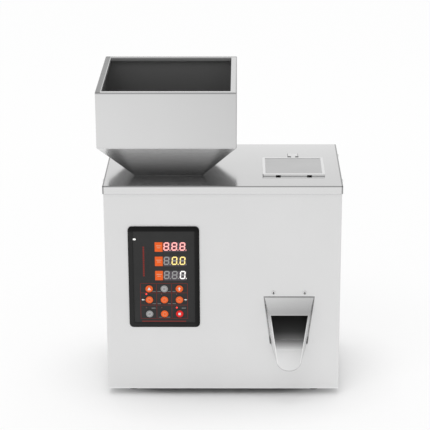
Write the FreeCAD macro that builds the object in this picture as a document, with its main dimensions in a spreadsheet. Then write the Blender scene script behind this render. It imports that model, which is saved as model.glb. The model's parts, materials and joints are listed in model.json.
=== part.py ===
"""Bench-top powder filler: a steel casing with a hopper, a vibrating feeder, a weigh bucket and a spout.

Row frame in millimetres: X to the right seen from the front, Y to the back, Z up.
The origin is on the bench, under the centre of the casing.
"""
import FreeCAD, Part
import os
import re

import Sketcher

SIZES = {
    # casing
    "casing_width": 340.0,
    "casing_depth": 200.0,
    "casing_height": 315.0,
    "sheet_gauge": 1.0,
    "bend_radius": 1.5,
    "return_flange": 15.0,
    "slip_gap": 0.15,
    "overcut": 1.0,
    "cover_gap": 0.3,
    "cover_flange": 12.0,
    "pan_flange": 14.0,
    "casing_screw_radius": 1.5,
    "casing_screw_length": 6.0,
    "screw_head_height": 1.8,
    "screw_head_radius": 2.85,
    "screw_head_crown": 1.95,
    "cover_screw_pitch": 120.0,
    "back_screw_pitch": 130.0,
    # feet
    "foot_height": 10.0,
    "foot_radius": 11.0,
    "foot_taper": 1.0,
    "foot_spread_x": 268.0,
    "foot_spread_y": 144.0,
    "foot_screw_radius": 2.0,
    "foot_screw_length": 10.0,
    "foot_head_height": 2.0,
    "foot_head_radius": 4.0,
    "foot_head_crown": 2.8,
    "foot_recess_radius": 5.0,
    "foot_recess_depth": 5.0,
    "foot_nut_radius": 4.0,
    "foot_nut_height": 3.0,
    "pan_vent_count": 9,
    # hopper
    "hopper_centre_x": -78.5,
    "hopper_centre_y": -5.0,
    "hopper_width": 197.0,
    "hopper_depth": 206.0,
    "hopper_box_height": 81.0,
    "hopper_cone_height": 58.0,
    "hopper_gauge": 1.2,
    "hopper_rim_width": 8.5,
    "hopper_lip_drop": 6.0,
    "neck_width": 99.0,
    "neck_depth": 93.0,
    "collar_depth": 8.0,
    # feed chute and flow gate
    "chute_flange": 14.0,
    "chute_mouth_depth": 7.5,
    "chute_cone_height": 31.5,
    "throat_height": 30.0,
    "throat_width": 60.0,
    "throat_depth": 45.0,
    "stud_radius": 2.0,
    "stud_length": 9.0,
    "stud_pitch": 46.5,
    "stud_nut_radius": 4.0,
    "stud_nut_height": 3.0,
    "gate_gauge": 1.5,
    "gate_height": 14.0,
    "gate_width": 38.0,
    "gate_travel": 15.0,
    "gate_guide": 3.0,
    "gate_corner": 1.5,
    "gate_knob_radius": 6.0,
    "gate_knob_length": 9.0,
    "gate_knob_neck": 3.0,
    "gate_knob_neck_radius": 3.0,
    "gate_knob_tip_radius": 5.1,
    # vibrating feeder
    "tray_drop": 5.0,
    "tray_left": -132.0,
    "tray_length": 200.0,
    "tray_width": 72.0,
    "tray_wall": 24.0,
    "tray_lip": 4.0,
    "bracket_left": -118.0,
    "bracket_length": 110.0,
    "bracket_width": 40.0,
    "bracket_height": 14.0,
    "bracket_wall": 4.0,
    "spring_lean": 15.0,
    "spring_gauge": 1.0,
    "spring_span": 100.0,
    "clamp_bar": 3.0,
    "clamp_bar_height": 11.0,
    "clamp_bolt_radius": 2.5,
    "clamp_bolt_pitch": 24.0,
    "clamp_head_radius": 4.25,
    "clamp_head_height": 2.5,
    "base_block_height": 25.0,
    "mount_height": 9.0,
    "mount_radius": 8.0,
    "mount_waist": 6.4,
    "mount_pitch_x": 84.0,
    "stand_gauge": 2.0,
    "stand_width": 126.0,
    "stand_depth": 90.0,
    "stand_flange": 12.0,
    "magnet_gap": 1.5,
    "magnet_width": 24.0,
    "magnet_height": 30.0,
    "coil_overhang": 5.0,
    "armature_lift": 5.0,
    "armature_gauge": 6.0,
    # power supply
    "supply_width": 98.0,
    "supply_depth": 80.0,
    "supply_height": 36.0,
    "supply_slot_length": 56.0,
    "supply_vent_count": 9,
    # weigh bucket
    "outlet_centre_x": 96.0,
    "bucket_width": 70.0,
    "bucket_front": -43.0,
    "bucket_depth": 76.0,
    "bucket_rim_drop": 10.0,
    "bucket_rim_height": 12.0,
    "bucket_cone_height": 38.0,
    "bucket_gauge": 1.0,
    "bucket_mouth_width": 40.0,
    "bucket_mouth_depth": 38.0,
    "flap_gauge": 1.5,
    "flap_gap": 0.5,
    "flap_overlap": 2.0,
    "flap_axis_y": 0.0,
    "flap_axis_drop": 2.5,
    "flap_knuckle_radius": 2.3,
    "flap_pin_radius": 1.5,
    "running_gap": 0.05,
    "lug_gauge": 2.0,
    "lug_front": 12.0,
    "lug_back": 3.0,
    "lug_bottom": 3.5,
    "lug_top": 16.0,
    "flap_pin_tail": 1.0,
    "lever_length": 15.0,
    # load cell
    "cell_length": 80.0,
    "cell_section": 12.7,
    "cell_front": 45.0,
    "cell_bottom": 208.0,
    "cell_screw_radius": 2.0,
    "cell_shift": 4.0,
    "cell_screw_inset": 5.0,
    "cell_screw_pitch": 10.0,
    "cell_head_radius": 3.5,
    "cell_head_height": 4.0,
    "cell_bore_radius": 5.08,
    "cell_link_height": 3.0,
    "cell_seat": 1.0,
    "cell_seat_length": 20.0,
    "column_width": 24.0,
    "column_depth": 22.0,
    "column_gauge": 2.0,
    "column_cap": 3.0,
    "hanger_gauge": 2.0,
    "hanger_width": 22.0,
    "hanger_reach": 28.0,
    # flap drive
    "motor_axis_y": 30.0,
    "motor_axis_z": 190.0,
    "motor_left": 30.0,
    "gearbox_length": 20.0,
    "gearbox_side": 24.0,
    "motor_radius": 9.0,
    "motor_length": 22.0,
    "motor_shaft_radius": 2.0,
    "motor_plate_gauge": 1.5,
    "motor_plate_margin": 2.0,
    "motor_tab_offset": 6.0,
    "boss_gap": 1.0,
    "crank_gauge": 3.0,
    "crank_hub_radius": 4.0,
    "crank_eye_radius": 3.0,
    "crank_radius": 21.2,
    "crank_pin_radius": 1.5,
    "crank_pin_drop": 6.8,
    # discharge funnel and spout
    "outlet_top": 155.5,
    "outlet_bottom": 83.0,
    "outlet_half_width": 36.0,
    "cheek_rise": 26.2,
    "cheek_spread": 16.6,
    "cheek_ahead": 110.0,
    "cheek_behind": 150.0,
    "cheek_side": 160.0,
    "hood_reach": 20.0,
    "hood_drop": 19.1,
    "tongue_reach": 25.0,
    "tongue_drop": 22.1,
    "tongue_radius": 18.9,
    "tongue_set_back": 7.8,
    "crease_reach": 8.6,
    "floor_inner_slope": 1.1,
    "sloped_gauge": 1.35,
    "passage_over": 4.0,
    "profile_margin": 10.0,
    "spout_flange_side": 40.0,
    "spout_flange_top": 170.0,
    "spout_flange_bottom": 78.0,
    "spout_screw_pitch": 45.3,
    "spout_screw_height": 162.7,
    "spout_screw_length": 8.0,
    "spout_nut_radius": 3.0,
    "spout_nut_height": 2.4,
    "funnel_half_width": 42.0,
    "funnel_top": 182.0,
    "funnel_back": 5.0,
    "funnel_shoulder": -62.0,
    "funnel_shoulder_drop": 10.0,
    # access lid
    "lid_left": 57.5,
    "lid_width": 90.0,
    "lid_front": -57.0,
    "lid_depth": 81.0,
    "lid_height": 3.0,
    "lid_gap": 0.3,
    "lid_border": 4.0,
    "lid_recess": 0.8,
    "lid_wall": 1.0,
    "lid_corner": 2.0,
    "lid_edge": 0.5,
    "hatch_inset": 7.0,
    "skirt_gap": 0.9,
    "skirt_drop": 5.0,
    "hinge_offset": 2.0,
    "hinge_height": 2.2,
    "hinge_radius": 1.9,
    "hinge_pin_radius": 0.9,
    "hinge_width": 16.0,
    "hinge_shift": 1.0,
    "hinge_knuckle": 4.8,
    "leaf_length": 24.0,
    "leaf_gauge": 0.8,
    # control panel
    "bezel_left": -136.4,
    "bezel_width": 102.7,
    "bezel_bottom": 109.2,
    "bezel_height": 155.7,
    "bezel_proud": 3.0,
    "bezel_corner": 6.0,
    "bezel_frame": 6.8,
    "bezel_plug_inset": 5.4,
    "bezel_plug_depth": 4.0,
    "bezel_web": 1.2,
    "bezel_plug_wall": 2.4,
    "overlay_gauge": 0.8,
    "overlay_slack": 0.2,
    "display_left": -85.6,
    "display_width": 33.0,
    "display_height": 15.3,
    "display_bottom": 182.0,
    "display_pitch": 22.0,
    "display_gap": 0.2,
    "key_left": -106.9,
    "key_pitch": 21.85,
    "key_top": 169.5,
    "key_middle": 152.3,
    "key_bottom": 130.2,
    "key_radius": 5.8,
    "key_gap": 0.2,
    "key_proud": 0.6,
    "key_edge": 0.48,
    "key_cap": 2.4,
    "key_stem_radius": 3.0,
    "key_travel": 0.5,
    "lamp_radius": 1.5,
    "lamp_left": -111.0,
    "lamp_pitch": 22.4,
    "lamp_top": 160.5,
    "lamp_bottom": 139.2,
    "sensor_x": -126.2,
    "sensor_z": 245.9,
    "board_stand_off": 7.6,
    "board_gauge": 1.6,
    "board_inset": 3.6,
    "chip_side": 24.0,
    "chip_height": 4.0,
    "plug_length": 30.0,
    "plug_width": 8.0,
    "plug_height": 9.0,
    "switch_side": 6.0,
    "switch_height": 2.0,
    "post_radius": 2.5,
    "post_inset": 12.0,
    # rear connections
    "inlet_inset": 52.0,
    "inlet_z": 52.0,
    "inlet_width": 47.0,
    "inlet_height": 27.0,
    "inlet_depth": 24.0,
    "inlet_flange": 2.5,
    "inlet_flange_lap": 3.0,
    "inlet_socket_width": 25.0,
    "inlet_socket_height": 17.0,
    "inlet_socket_depth": 15.0,
    "inlet_socket_shift": 7.0,
    "inlet_pin_width": 2.0,
    "inlet_pin_height": 4.0,
    "inlet_pin_pitch": 7.0,
    "inlet_pin_lift": 2.0,
    "fuse_shift": 16.0,
    "fuse_width": 9.0,
    "fuse_height": 20.0,
    "fuse_groove": 1.0,
    "power_switch_inset": 104.0,
    "power_switch_width": 13.0,
    "power_switch_height": 19.2,
    "switch_rim_gauge": 1.5,
    "switch_case_depth": 20.0,
    "rocker_well_depth": 8.0,
    "rocker_axle_depth": 3.0,
    "rocker_axle_radius": 1.2,
    "rocker_heel_depth": 2.0,
    "rocker_heel_height": 7.68,
    "rocker_shoulder": 3.0,
    "rocker_crest": 5.5,
    "rocker_dip": 4.2,
    "rocker_tilt": 10.0,
    "rocker_gap": 0.4,
    "pedal_inset": 144.0,
    "pedal_radius": 8.0,
    "pedal_flange_radius": 10.5,
    "pedal_collar": 2.0,
    "pedal_depth": 16.0,
    "pedal_bore_depth": 8.0,
    "pedal_wall": 2.0,
    "contact_length": 7.0,
    "contact_radius": 0.8,
    "contact_spread": 3.0,
    "contact_drop": 2.0,
    "contact_rise": 3.0,
    "vent_slot": 3.0,
    "vent_height": 40.0,
    "vent_pitch": 8.0,
    "vent_inset": 40.0,
    "vent_count": 14,
}

doc = FreeCAD.newDocument("PowderFiller")
dims = doc.addObject("Spreadsheet::Sheet", "dims")
for row, (size_name, size_value) in enumerate(SIZES.items(), start=1):
    dims.set(f"A{row}", size_name.replace("_", " "))
    dims.set(f"B{row}", str(size_value))
    dims.setAlias(f"B{row}", size_name)
doc.recompute()

# planes that many pieces share, written in the sheet's names
FLOOR = "foot_height"
CASING_TOP = "(foot_height + casing_height)"
COVER_TOP = "(foot_height + casing_height + sheet_gauge)"
RIGHT = "(casing_width / 2)"
LEFT = "(-casing_width / 2)"
FRONT = "(-casing_depth / 2)"
BACK = "(casing_depth / 2)"
PAN_TOP = "(foot_height + sheet_gauge)"
THROAT_TOP = f"({CASING_TOP} - sheet_gauge - chute_mouth_depth - chute_cone_height)"
THROAT_BOTTOM = f"({THROAT_TOP} - throat_height)"
THROAT_RIGHT = "(hopper_centre_x + throat_width / 2)"
TRAY_FLOOR = f"({THROAT_BOTTOM} - tray_drop - sheet_gauge)"
BUCKET_TOP = f"({TRAY_FLOOR} - bucket_rim_drop)"
BUCKET_SHOULDER = f"({BUCKET_TOP} - bucket_rim_height)"
BUCKET_MOUTH = f"({BUCKET_SHOULDER} - bucket_cone_height)"
FLAP_AXIS_Z = f"({BUCKET_MOUTH} - flap_axis_drop)"
BACK_SHEET = f"({BACK} - sheet_gauge)"

nodes = []


def bind(text):
    """An expression with each size name pointed at its cell in the sheet."""
    return re.sub(r"[a-z_][a-z0-9_]*", lambda word: "dims." + word[0] if word[0] in SIZES else word[0], text)


def value(text):
    """The present number of an expression, used to start a sketch near its solution."""
    result = dims.evalExpression(bind(text))
    return float(getattr(result, "Value", result))


def place(item, x, y, z):
    """Tie the three coordinates of an object's place to expressions."""
    for letter, text in zip("xyz", (x, y, z)):
        item.setExpression(f"Placement.Base.{letter}", bind(text))


def block(name, across, along, up):
    """A box between pairs of planes: across is in X, along in Y and up in Z."""
    item = doc.addObject("Part::Box", name)
    for side, (low, high) in zip(("Length", "Width", "Height"), (across, along, up)):
        item.setExpression(side, bind(f"({high}) - ({low})"))
    place(item, across[0], along[0], up[0])
    return item


TURNS = {
    "X": FreeCAD.Rotation(FreeCAD.Vector(0, 1, 0), 90),
    "Y": FreeCAD.Rotation(FreeCAD.Vector(1, 0, 0), -90),
    "Z": FreeCAD.Rotation(),
}


def rod(name, axis, start, length, radius):
    """A cylinder that starts at a point and runs along one axis."""
    item = doc.addObject("Part::Cylinder", name)
    item.setExpression("Radius", bind(radius))
    item.setExpression("Height", bind(length))
    item.Placement = FreeCAD.Placement(FreeCAD.Vector(), TURNS[axis])
    place(item, *start)
    return item


def cone(name, axis, start, length, radius, end_radius):
    """A truncated cone that starts at a point and runs along one axis."""
    item = doc.addObject("Part::Cone", name)
    item.setExpression("Radius1", bind(radius))
    item.setExpression("Radius2", bind(end_radius))
    item.setExpression("Height", bind(length))
    item.Placement = FreeCAD.Placement(FreeCAD.Vector(), TURNS[axis])
    place(item, *start)
    return item


def hexagon(name, axis, start, length, radius):
    """A hexagonal prism, for nuts and bolt heads."""
    item = doc.addObject("Part::Prism", name)
    item.Polygon = 6
    item.setExpression("Circumradius", bind(radius))
    item.setExpression("Height", bind(length))
    item.Placement = FreeCAD.Placement(FreeCAD.Vector(), TURNS[axis])
    place(item, *start)
    return item


def frustum(name, centre, bottom, top, up, inset="0"):
    """A four-sided funnel shape: bottom and top are (width, depth, shift in Y), up is the pair of levels."""
    item = doc.addObject("Part::Wedge", name)
    item.Placement = FreeCAD.Placement(FreeCAD.Vector(), FreeCAD.Rotation(FreeCAD.Vector(1, 0, 0), 90))
    item.setExpression("Ymin", bind(up[0]))
    item.setExpression("Ymax", bind(up[1]))
    for prefix, (width, depth, shift) in (("", bottom), ("2", top)):
        half_width = f"(({width}) / 2 - ({inset}))"
        half_depth = f"(({depth}) / 2 - ({inset}))"
        middle = f"(({centre[1]}) + ({shift}))"
        item.setExpression(f"X{prefix}min", bind(f"({centre[0]}) - {half_width}"))
        item.setExpression(f"X{prefix}max", bind(f"({centre[0]}) + {half_width}"))
        item.setExpression(f"Z{prefix}min", bind(f"-{middle} - {half_depth}"))
        item.setExpression(f"Z{prefix}max", bind(f"-{middle} + {half_depth}"))
    return item


def join(name, *items):
    """The union of several objects."""
    item = doc.addObject("Part::MultiFuse", name)
    item.Shapes = list(items)
    item.Refine = True
    return item


def overlap(name, *items):
    """The volume that all the objects share."""
    item = doc.addObject("Part::MultiCommon", name)
    item.Shapes = list(items)
    item.Refine = True
    return item


def carve(name, base, *tools):
    """A base with one or more tools cut away."""
    item = doc.addObject("Part::Cut", name)
    item.Base = base
    item.Tool = tools[0] if len(tools) == 1 else join(name + "_cutters", *tools)
    item.Refine = True
    return item


def origin_plane(body, role):
    """One of a body's own three origin planes."""
    return next(plane for plane in body.Origin.OriginFeatures if plane.Role == role)


def attach(sketch, body, plane, level):
    """Lay a sketch on a body's origin plane, moved along the row's axis to a level."""
    sketch.AttachmentSupport = [(origin_plane(body, plane + "_Plane"), "")]
    sketch.MapMode = "FlatFace"
    sign = "-" if plane == "XZ" else ""
    sketch.setExpression("AttachmentOffset.Base.z", bind(f"{sign}({level})"))


def outline(body, name, plane, level, corners):
    """A sketch of straight sides, each corner held by two distances from the origin."""
    sketch = body.newObject("Sketcher::SketchObject", name)
    attach(sketch, body, plane, level)
    points = [FreeCAD.Vector(value(across), value(up), 0) for across, up in corners]
    count = len(points)
    for index, point in enumerate(points):
        sketch.addGeometry(Part.LineSegment(point, points[(index + 1) % count]), False)
    for index in range(count):
        sketch.addConstraint(Sketcher.Constraint("Coincident", index, 2, (index + 1) % count, 1))
    for index, (point, corner) in enumerate(zip(points, corners)):
        for kind, distance, text in zip(("DistanceX", "DistanceY"), (point.x, point.y), corner):
            number = sketch.addConstraint(Sketcher.Constraint(kind, -1, 1, index, 1, distance))
            sketch.setExpression(f"Constraints[{number}]", bind(text))
    return sketch


def circles(body, name, plane, level, centres, radius):
    """A sketch of equal circles."""
    sketch = body.newObject("Sketcher::SketchObject", name)
    attach(sketch, body, plane, level)
    for index, (across, up) in enumerate(centres):
        centre = FreeCAD.Vector(value(across), value(up), 0)
        sketch.addGeometry(Part.Circle(centre, FreeCAD.Vector(0, 0, 1), value(radius)), False)
        number = sketch.addConstraint(Sketcher.Constraint("Radius", index, value(radius)))
        sketch.setExpression(f"Constraints[{number}]", bind(radius))
        for kind, distance, text in (("DistanceX", centre.x, across), ("DistanceY", centre.y, up)):
            number = sketch.addConstraint(Sketcher.Constraint(kind, -1, 1, index, 3, distance))
            sketch.setExpression(f"Constraints[{number}]", bind(text))
    return sketch


def pad(body, sketch, plane, thickness):
    """Material from the sketch's level towards the positive axis."""
    feature = body.newObject("PartDesign::Pad", sketch.Name + "_pad")
    feature.Profile = sketch
    feature.Reversed = plane == "XZ"
    feature.setExpression("Length", bind(thickness))
    doc.recompute()
    return feature


def pocket(body, sketch, plane, depth):
    """A cut from the sketch's level towards the positive axis, which has to remove something."""
    before = body.Shape.Volume
    feature = body.newObject("PartDesign::Pocket", sketch.Name + "_pocket")
    feature.Profile = sketch
    feature.Reversed = plane != "XZ"
    feature.setExpression("Length", bind(depth))
    doc.recompute()
    assert body.Shape.Volume < before - 1e-6, f"{feature.Name} cut nothing"
    return feature


def round_edges(body, name, radius, wanted):
    """A fillet on the edges of the body's tip that the test picks."""
    base = body.Tip
    names = [f"Edge{number}" for number, edge in enumerate(base.Shape.Edges, start=1) if wanted(edge)]
    assert names, f"{name} found no edge"
    feature = body.newObject("PartDesign::Fillet", name)
    feature.Base = (base, names)
    feature.setExpression("Radius", bind(radius))
    doc.recompute()
    return feature


def runs_along(edge, letter):
    """True for a straight edge parallel to one axis."""
    if edge.Curve.TypeId != "Part::GeomLine":
        return False
    direction = edge.tangentAt(edge.FirstParameter)
    return abs(abs(getattr(direction, letter)) - 1) < 1e-6


def rectangle(across, up):
    """The four corners of a rectangle from two pairs of limits."""
    return [(across[0], up[0]), (across[1], up[0]), (across[1], up[1]), (across[0], up[1])]


def new_body(name):
    """An empty PartDesign body."""
    return doc.addObject("PartDesign::Body", name)


def plate(name, plane, level, corners, thickness):
    """A body that starts as one padded outline."""
    body = new_body(name)
    pad(body, outline(body, name + "_outline", plane, level, corners), plane, thickness)
    return body


def keep(item, node):
    """Name a finished piece and add it to the list of nodes."""
    item.Label = node
    nodes.append(item)
    return item


def around(middle, size, margin="0"):
    """The pair of limits of a span that is centred on a place and widened by a margin on each side."""
    return (f"({middle}) - ({size}) / 2 - ({margin})", f"({middle}) + ({size}) / 2 + ({margin})")


# feet and the places that they share
FOOT_PLACES = [
    (f"({side_x} * foot_spread_x / 2)", f"({side_y} * foot_spread_y / 2)")
    for side_x in (-1, 1)
    for side_y in (-1, 1)
]
COVER_SCREW_PLACES = [(f"({side} * cover_screw_pitch / 2)",
                       f"({COVER_TOP} - cover_flange / 2)") for side in (-1, 1)]
BACK_SCREW_PLACES = [
    (f"({side} * ({RIGHT} - return_flange / 2))",
     f"({FLOOR} + casing_height / 2 + {step} * back_screw_pitch)")
    for side in (-1, 1)
    for step in (-1, 0, 1)
]
SPOUT_SCREW_PLACES = [(f"(outlet_centre_x + {side} * spout_screw_pitch / 2)",
                       "spout_screw_height") for side in (-1, 1)]


def make_base_pan():
    """The floor of the casing: a shallow tray with vent slots under the power supply."""
    across = (f"{LEFT} + sheet_gauge + slip_gap", f"{RIGHT} - sheet_gauge - slip_gap")
    along = (f"{FRONT} + sheet_gauge + slip_gap", f"{BACK} - 2 * sheet_gauge - slip_gap")
    body = plate("base_pan", "XY", FLOOR, rectangle(across, along), "pan_flange")
    round_edges(body, "base_pan_corners", "bend_radius", lambda edge: runs_along(edge, "z"))
    inside = rectangle(
        (f"{across[0]} + sheet_gauge", f"{across[1]} - sheet_gauge"),
        (f"{along[0]} + sheet_gauge", f"{along[1]} - sheet_gauge"),
    )
    pocket(body, outline(body, "base_pan_inside", "XY", PAN_TOP, inside), "XY", "pan_flange")
    pocket(
        body,
        circles(body, "base_pan_foot_holes", "XY", FLOOR, FOOT_PLACES, "foot_screw_radius + cover_gap"),
        "XY",
        "sheet_gauge",
    )
    first_slot = "hopper_centre_x - vent_pitch * (pan_vent_count - 1) / 2"
    first = (first_slot, f"{first_slot} + vent_slot")
    slot = outline(body, "base_pan_slot", "XY", FLOOR,
                   rectangle(first, around("hopper_centre_y", "vent_height")))
    cut = pocket(body, slot, "XY", "sheet_gauge")
    repeat(body, "base_pan_slots", cut, slot, "vent_pitch * (pan_vent_count - 1)", "pan_vent_count")
    return keep(body, "base_pan")


def repeat(body, name, feature, sketch, length, count):
    """A row of equal features along the sketch's horizontal axis."""
    pattern = body.newObject("PartDesign::LinearPattern", name)
    pattern.Originals = [feature]
    pattern.Direction = (sketch, ["H_Axis"])
    pattern.setExpression("Length", bind(length))
    pattern.setExpression("Occurrences", bind(count))
    body.Tip = pattern
    doc.recompute()
    return pattern


def cheek_half(height, extra="0"):
    """Half the outlet's width in the front sheet's plane at a height, with something added."""
    slope = "sin(cheek_rise * 1 deg) * tan(cheek_spread * 1 deg)"
    return f"(outlet_half_width + (({height}) - outlet_top) * {slope} + ({extra}))"


def make_casing_wrap():
    """Front and two sides in one folded sheet, with flanges turned in at the back."""
    inner_x = f"({RIGHT} - sheet_gauge)"
    flange_x = f"({RIGHT} - return_flange)"
    inner_y = f"({FRONT} + sheet_gauge)"
    corners = [
        (LEFT, FRONT),
        (RIGHT, FRONT),
        (RIGHT, BACK),
        (flange_x, BACK),
        (flange_x, BACK_SHEET),
        (inner_x, BACK_SHEET),
        (inner_x, inner_y),
        (f"-{inner_x}", inner_y),
        (f"-{inner_x}", BACK_SHEET),
        (f"-{flange_x}", BACK_SHEET),
        (f"-{flange_x}", BACK),
        (LEFT, BACK),
    ]
    body = plate("casing_wrap", "XY", FLOOR, corners, "casing_height")
    half = value(RIGHT)
    gauge = value("sheet_gauge")

    def outer_bend(edge):
        corner = abs(abs(edge.Vertexes[0].X) - half) < 1e-6
        return runs_along(edge, "z") and corner

    def inner_bend(edge):
        corner = abs(abs(edge.Vertexes[0].X) - half + gauge) < 1e-6
        return runs_along(edge, "z") and corner

    round_edges(body, "casing_outer_bends", "bend_radius", outer_bend)
    round_edges(body, "casing_inner_bends", "bend_radius / 2", inner_bend)
    opening = rectangle(
        ("bezel_left + bezel_plug_inset - slip_gap",
         "bezel_left + bezel_width - bezel_plug_inset + slip_gap"),
        ("bezel_bottom + bezel_plug_inset - slip_gap",
         "bezel_bottom + bezel_height - bezel_plug_inset + slip_gap"),
    )
    pocket(body, outline(body, "casing_panel_opening", "XZ", FRONT, opening), "XZ", "sheet_gauge")
    top_half = cheek_half("outlet_top", "cover_gap + sheet_gauge")
    bottom_half = cheek_half("outlet_bottom", "cover_gap + sheet_gauge")
    outlet = [
        (f"outlet_centre_x - {bottom_half}", "outlet_bottom - cover_gap - sheet_gauge"),
        (f"outlet_centre_x + {bottom_half}", "outlet_bottom - cover_gap - sheet_gauge"),
        (f"outlet_centre_x + {top_half}", "outlet_top + cover_gap + sheet_gauge"),
        (f"outlet_centre_x - {top_half}", "outlet_top + cover_gap + sheet_gauge"),
    ]
    pocket(body, outline(body, "casing_outlet", "XZ", FRONT, outlet), "XZ", "sheet_gauge")
    clearance = "casing_screw_radius + slip_gap"
    holes = circles(body, "casing_spout_holes", "XZ", FRONT, SPOUT_SCREW_PLACES, clearance)
    pocket(body, holes, "XZ", "sheet_gauge")
    holes = circles(body, "casing_back_holes", "XZ", BACK_SHEET, BACK_SCREW_PLACES, clearance)
    pocket(body, holes, "XZ", "sheet_gauge")
    holes = circles(body, "casing_side_holes", "YZ", LEFT, COVER_SCREW_PLACES, clearance)
    pocket(body, holes, "YZ", "casing_width")
    return keep(body, "casing_wrap")


INLET_X = f"({RIGHT} - inlet_inset)"
SWITCH_X = f"({RIGHT} - power_switch_inset)"
PEDAL_X = f"({RIGHT} - pedal_inset)"
INLET_CUT = (around(INLET_X, "inlet_width"), around("inlet_z", "inlet_height"))
SWITCH_CUT = (around(SWITCH_X, "power_switch_width", "rocker_gap + sheet_gauge"),
              around("inlet_z", "power_switch_height", "2 * rocker_gap + sheet_gauge"))


def make_back_panel():
    """The removable back sheet, with vent slots and the cut-outs of the connections."""
    across = (f"{LEFT} + sheet_gauge + bend_radius", f"{RIGHT} - sheet_gauge - bend_radius")
    up = (f"{FLOOR} + slip_gap", f"{CASING_TOP} - slip_gap")
    level = f"{BACK} - 2 * sheet_gauge"
    body = plate("back_panel", "XZ", level, rectangle(across, up), "sheet_gauge")
    for name, (wide, tall) in (("inlet", INLET_CUT), ("switch", SWITCH_CUT)):
        cutter = rectangle(
            (f"{wide[0]} - slip_gap", f"{wide[1]} + slip_gap"),
            (f"{tall[0]} - slip_gap", f"{tall[1]} + slip_gap"),
        )
        pocket(body, outline(body, f"back_{name}_cut", "XZ", level, cutter), "XZ", "sheet_gauge")
    hole = circles(body, "back_pedal_hole", "XZ", level, [(PEDAL_X, "inlet_z")], "pedal_radius + slip_gap")
    pocket(body, hole, "XZ", "sheet_gauge")
    holes = circles(body, "back_screw_holes", "XZ", level, BACK_SCREW_PLACES,
                    "casing_screw_radius + slip_gap")
    pocket(body, holes, "XZ", "sheet_gauge")
    first = ("-vent_pitch * vent_count / 2", "-vent_pitch * vent_count / 2 + vent_slot")
    up = (f"{CASING_TOP} - vent_inset - vent_height", f"{CASING_TOP} - vent_inset")
    slot = outline(body, "back_vent", "XZ", level, rectangle(first, up))
    cut = pocket(body, slot, "XZ", "sheet_gauge")
    repeat(body, "back_vents", cut, slot, "vent_pitch * (vent_count - 1)", "vent_count")
    return keep(body, "back_panel")


STUD_PLACES = [
    (
        f"(hopper_centre_x + {side_x} * (neck_width + chute_flange + 2 * sheet_gauge) / 2)",
        f"(hopper_centre_y + {side_y} * stud_pitch / 2)",
    )
    for side_x in (-1, 1)
    for side_y in (-1, 1)
]
HATCH = (
    ("lid_left + hatch_inset", "lid_left + lid_width - hatch_inset"),
    ("lid_front + hatch_inset", "lid_front + lid_depth - hatch_inset"),
)


def make_top_cover():
    """The lid of the casing: a folded sheet with the neck's opening and the hatch."""
    across = (f"{LEFT} - cover_gap - sheet_gauge", f"{RIGHT} + cover_gap + sheet_gauge")
    along = (f"{FRONT} - cover_gap - sheet_gauge", f"{BACK} + cover_gap + sheet_gauge")
    skirt = f"{COVER_TOP} - cover_flange"
    body = plate("top_cover", "XY", skirt, rectangle(across, along), "cover_flange")
    round_edges(body, "cover_corners", "bend_radius", lambda edge: runs_along(edge, "z"))
    top = value(COVER_TOP)
    round_edges(body, "cover_bends", "bend_radius", lambda edge: edge.BoundBox.ZMin > top - 1e-6)
    inside = rectangle(
        (f"{LEFT} - cover_gap", f"{RIGHT} + cover_gap"),
        (f"{FRONT} - cover_gap", f"{BACK} + cover_gap"),
    )
    pocket(body, outline(body, "cover_inside", "XY", skirt, inside), "XY", "cover_flange - sheet_gauge")
    neck = rectangle(
        around("hopper_centre_x", "neck_width", "cover_gap"),
        around("hopper_centre_y", "neck_depth", "cover_gap")
    )
    pocket(body, outline(body, "cover_neck", "XY", CASING_TOP, neck), "XY", "sheet_gauge")
    pocket(body, outline(body, "cover_hatch", "XY", CASING_TOP, rectangle(*HATCH)), "XY", "sheet_gauge")
    clearance = "casing_screw_radius + slip_gap"
    holes = circles(body, "cover_side_holes", "YZ", across[0], COVER_SCREW_PLACES, clearance)
    pocket(body, holes, "YZ", f"({across[1]}) - ({across[0]})")
    return keep(body, "top_cover")


def make_feet():
    """Four rubber feet, each held by a screw in its recess and a nut on the pan."""
    feet = []
    fasteners = []
    for number, (x, y) in enumerate(FOOT_PLACES, start=1):
        rubber = cone(f"foot_rubber_{number}", "Z", (x, y, "0"), FLOOR, "foot_radius - foot_taper",
                      "foot_radius")
        recess = rod(f"foot_recess_{number}", "Z", (x, y, "0"), "foot_recess_depth", "foot_recess_radius")
        hole = rod(f"foot_hole_{number}", "Z", (x, y, "0"), FLOOR, "foot_screw_radius + slip_gap")
        feet.append(carve(f"foot_{number}", rubber, recess, hole))
        head_bottom = "foot_recess_depth - foot_head_height"
        head = cone(f"foot_head_{number}", "Z", (x, y, head_bottom), "foot_head_height", "foot_head_crown",
                    "foot_head_radius")
        shank = rod(f"foot_shank_{number}", "Z", (x, y, "foot_recess_depth"), "foot_screw_length",
                    "foot_screw_radius")
        fasteners.append(join(f"foot_screw_{number}", head, shank))
        nut = hexagon(f"foot_nut_{number}", "Z", (x, y, PAN_TOP), "foot_nut_height", "foot_nut_radius")
        bore = rod(f"foot_nut_bore_{number}", "Z", (x, y, PAN_TOP), "foot_nut_height",
                   "foot_screw_radius + running_gap")
        fasteners.append(carve(f"foot_nut_cut_{number}", nut, bore))
    keep(join("rubber_feet", *feet), "rubber_feet")
    keep(join("foot_fasteners", *fasteners), "foot_fasteners")


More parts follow.
